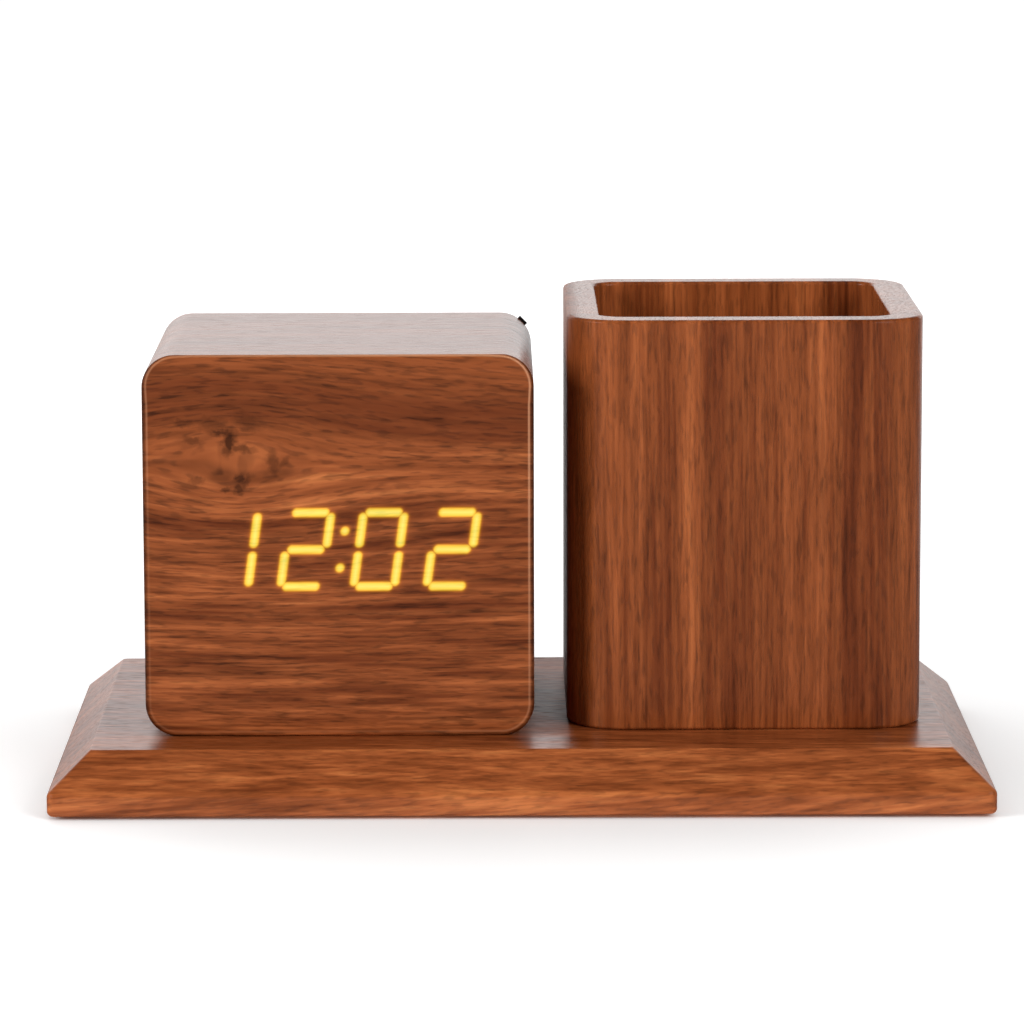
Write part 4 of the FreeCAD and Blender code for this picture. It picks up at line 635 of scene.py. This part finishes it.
def makeFloor():
    mesh = bpy.data.meshes.new("floor")
    plane = bmesh.new()
    bmesh.ops.create_grid(plane, x_segments=1, y_segments=1, size=stageLook["floorSize"] / 2)
    plane.to_mesh(mesh)
    plane.free()
    floor = bpy.data.objects.new("floor", mesh)
    bpy.context.scene.collection.objects.link(floor)
    material, tree, surface = newMaterial("white paper sweep")
    surface.inputs["Roughness"].default_value = 0.9
    surface.inputs["Specular IOR Level"].default_value = 0.1
    path = addNode(tree, "LightPath")
    seen = addNode(tree, "Math", {0: path.outputs["Is Camera Ray"], 1: path.outputs["Is Glossy Ray"]},
                   operation="MAXIMUM").outputs[0]
    place = addNode(tree, "TexCoord").outputs["Object"]
    away = addNode(tree, "VectorMath", {0: place}, operation="LENGTH").outputs["Value"]
    span = addNode(tree, "MapRange", {0: away, 1: stageLook["whiteFrom"], 2: stageLook["whiteTo"]}).outputs[0]
    own = addNode(tree, "ValToRGB", {0: span}, stops=stageLook["white"]).outputs[0]
    way = addNode(tree, "VectorMath", {0: place}, operation="NORMALIZE").outputs[0]
    behind = addNode(tree, "SeparateXYZ", {0: way}).outputs[1]
    dark = addNode(tree, "MapRange", {0: behind, 1: stageLook["darkFrom"], 2: stageLook["darkTo"],
                                      3: stageLook["darkShare"], 4: stageLook["brightShare"]}).outputs[0]
    share = addNode(tree, "Mix", {0: path.outputs["Is Glossy Ray"], 2: 1.0, 3: dark}).outputs[0]
    # The paper's own white is dimmed where the set hides the sky: a painted soft shadow round the plinth
    paintedContactShadow = addNode(tree, "AmbientOcclusion", {"Distance": stageLook["shadeReach"]}, samples=8)
    own = addNode(tree, "Math", {0: own, 1: paintedContactShadow.outputs["AO"]}, operation="MULTIPLY").outputs[0]
    white = addNode(tree, "Math", {0: seen, 1: own}, operation="MULTIPLY").outputs[0]
    white = addNode(tree, "Math", {0: white, 1: share}, operation="MULTIPLY").outputs[0]
    paper = addNode(tree, "Mix", {0: share, 6: (0, 0, 0, 1), 7: toLinear(stageLook["floorColour"])},
                    data_type="RGBA")
    tree.links.new(paper.outputs[2], surface.inputs["Base Color"])
    surface.inputs["Emission Color"].default_value = (1, 1, 1, 1)
    # The underside of the set would be black without light from the paper just below it
    close = addNode(tree, "MapRange", {0: path.outputs["Ray Length"], 1: stageLook["underFrom"],
                                       2: stageLook["underTo"], 3: stageLook["underLight"], 4: 0})
    white = addNode(tree, "Math", {0: close.outputs[0], 1: path.outputs["Is Diffuse Ray"], 2: white},
                    operation="MULTIPLY_ADD").outputs[0]
    tree.links.new(white, surface.inputs["Emission Strength"])
    clear = addNode(tree, "BsdfTransparent")  # so that views from below show the set
    side = addNode(tree, "NewGeometry")
    both = addNode(tree, "MixShader", {0: side.outputs["Backfacing"], 1: surface.outputs[0],
                                       2: clear.outputs[0]})
    tree.links.new(both.outputs[0], tree.nodes["Material Output"].inputs["Surface"])
    mesh.materials.append(material)


def lampDirection(look):
    azimuth, height = math.radians(look["azimuth"]), math.radians(look["height"])
    level = math.cos(height)
    return Vector((math.sin(azimuth) * level, -math.cos(azimuth) * level, math.sin(height)))


def makeWorld():
    world = bpy.data.worlds.new("studio")
    bpy.context.scene.world = world
    world.use_nodes = True
    tree = world.node_tree
    tree.nodes.clear()
    path = addNode(tree, "LightPath")
    way = addNode(tree, "TexCoord").outputs["Generated"]
    behind = addNode(tree, "SeparateXYZ", {0: way}).outputs[1]
    # Polished wood sees the white sweep behind it, darker flags at its sides and front, and the two front
    # lamps as soft pale patches, which don't burn out
    ahead = addNode(tree, "MapRange", {0: behind, 1: stageLook["flagFrom"], 2: stageLook["flagTo"],
                                       3: stageLook["flag"], 4: stageLook["sweep"]}).outputs[0]
    for name in ("right", "left"):
        towards = lampDirection(stageLook["lamps"][name])
        near = addNode(tree, "VectorMath", {0: way, 1: towards}, operation="DOT_PRODUCT").outputs["Value"]
        patch = addNode(tree, "MapRange", {0: near, 1: stageLook["patchFrom"], 2: stageLook["patchTo"],
                                           3: 0, 4: stageLook["patch"]}).outputs[0]
        ahead = addNode(tree, "Math", {0: ahead, 1: patch}, operation="MAXIMUM").outputs[0]
    glossy = addNode(tree, "Mix", {0: path.outputs["Is Glossy Ray"], 2: stageLook["worldGrey"], 3: ahead})
    seen = addNode(tree, "Math", {0: path.outputs["Is Camera Ray"], 1: path.outputs["Is Transmission Ray"]},
                   operation="MAXIMUM").outputs[0]
    strength = addNode(tree, "Mix", {0: seen, 2: glossy.outputs[0], 3: 1.0}).outputs[0]
    background = addNode(tree, "Background", {0: (1, 1, 1, 1), 1: strength})
    out = addNode(tree, "OutputWorld")
    tree.links.new(background.outputs[0], out.inputs[0])


def makeLamps():
    for name, look in stageLook["lamps"].items():
        data = bpy.data.lights.new(name, "AREA")
        data.size = look["size"]
        data.energy = look["power"]
        lamp = bpy.data.objects.new(name, data)
        towards = lampDirection(look)
        lamp.location = Vector(stageLook["aim"]) + towards * look["away"]
        lamp.rotation_euler = towards.to_track_quat("Z", "Y").to_euler()
        lamp.visible_camera = False
        lamp.visible_glossy = False
        bpy.context.scene.collection.objects.link(lamp)


cameraLook = {
    "at": (-7.6, -1288, 274.6),                # mm
    "yaw": 0.25, "down": 9.3, "roll": -0.13,  # degrees
    "focus": 5196 / 1024,                      # focal length in picture widths
}


def makeCamera():
    data = bpy.data.cameras.new("camera")
    data.sensor_width = 36
    data.lens = data.sensor_width * cameraLook["focus"]
    data.clip_end = 100
    camera = bpy.data.objects.new("camera", data)
    yaw, down, roll = (math.radians(cameraLook[name]) for name in ("yaw", "down", "roll"))
    level = Matrix.Rotation(-yaw, 4, "Z") @ Matrix.Rotation(math.pi / 2 - down, 4, "X")
    turned = level @ Matrix.Rotation(roll, 4, "Z")
    camera.matrix_world = Matrix.Translation(Vector(cameraLook["at"]) * mm) @ turned
    bpy.context.scene.collection.objects.link(camera)
    bpy.context.scene.camera = camera


makeFloor()
makeWorld()
makeLamps()
makeCamera()
bpy.context.scene.view_settings.view_transform = "Standard"
print("stage made")
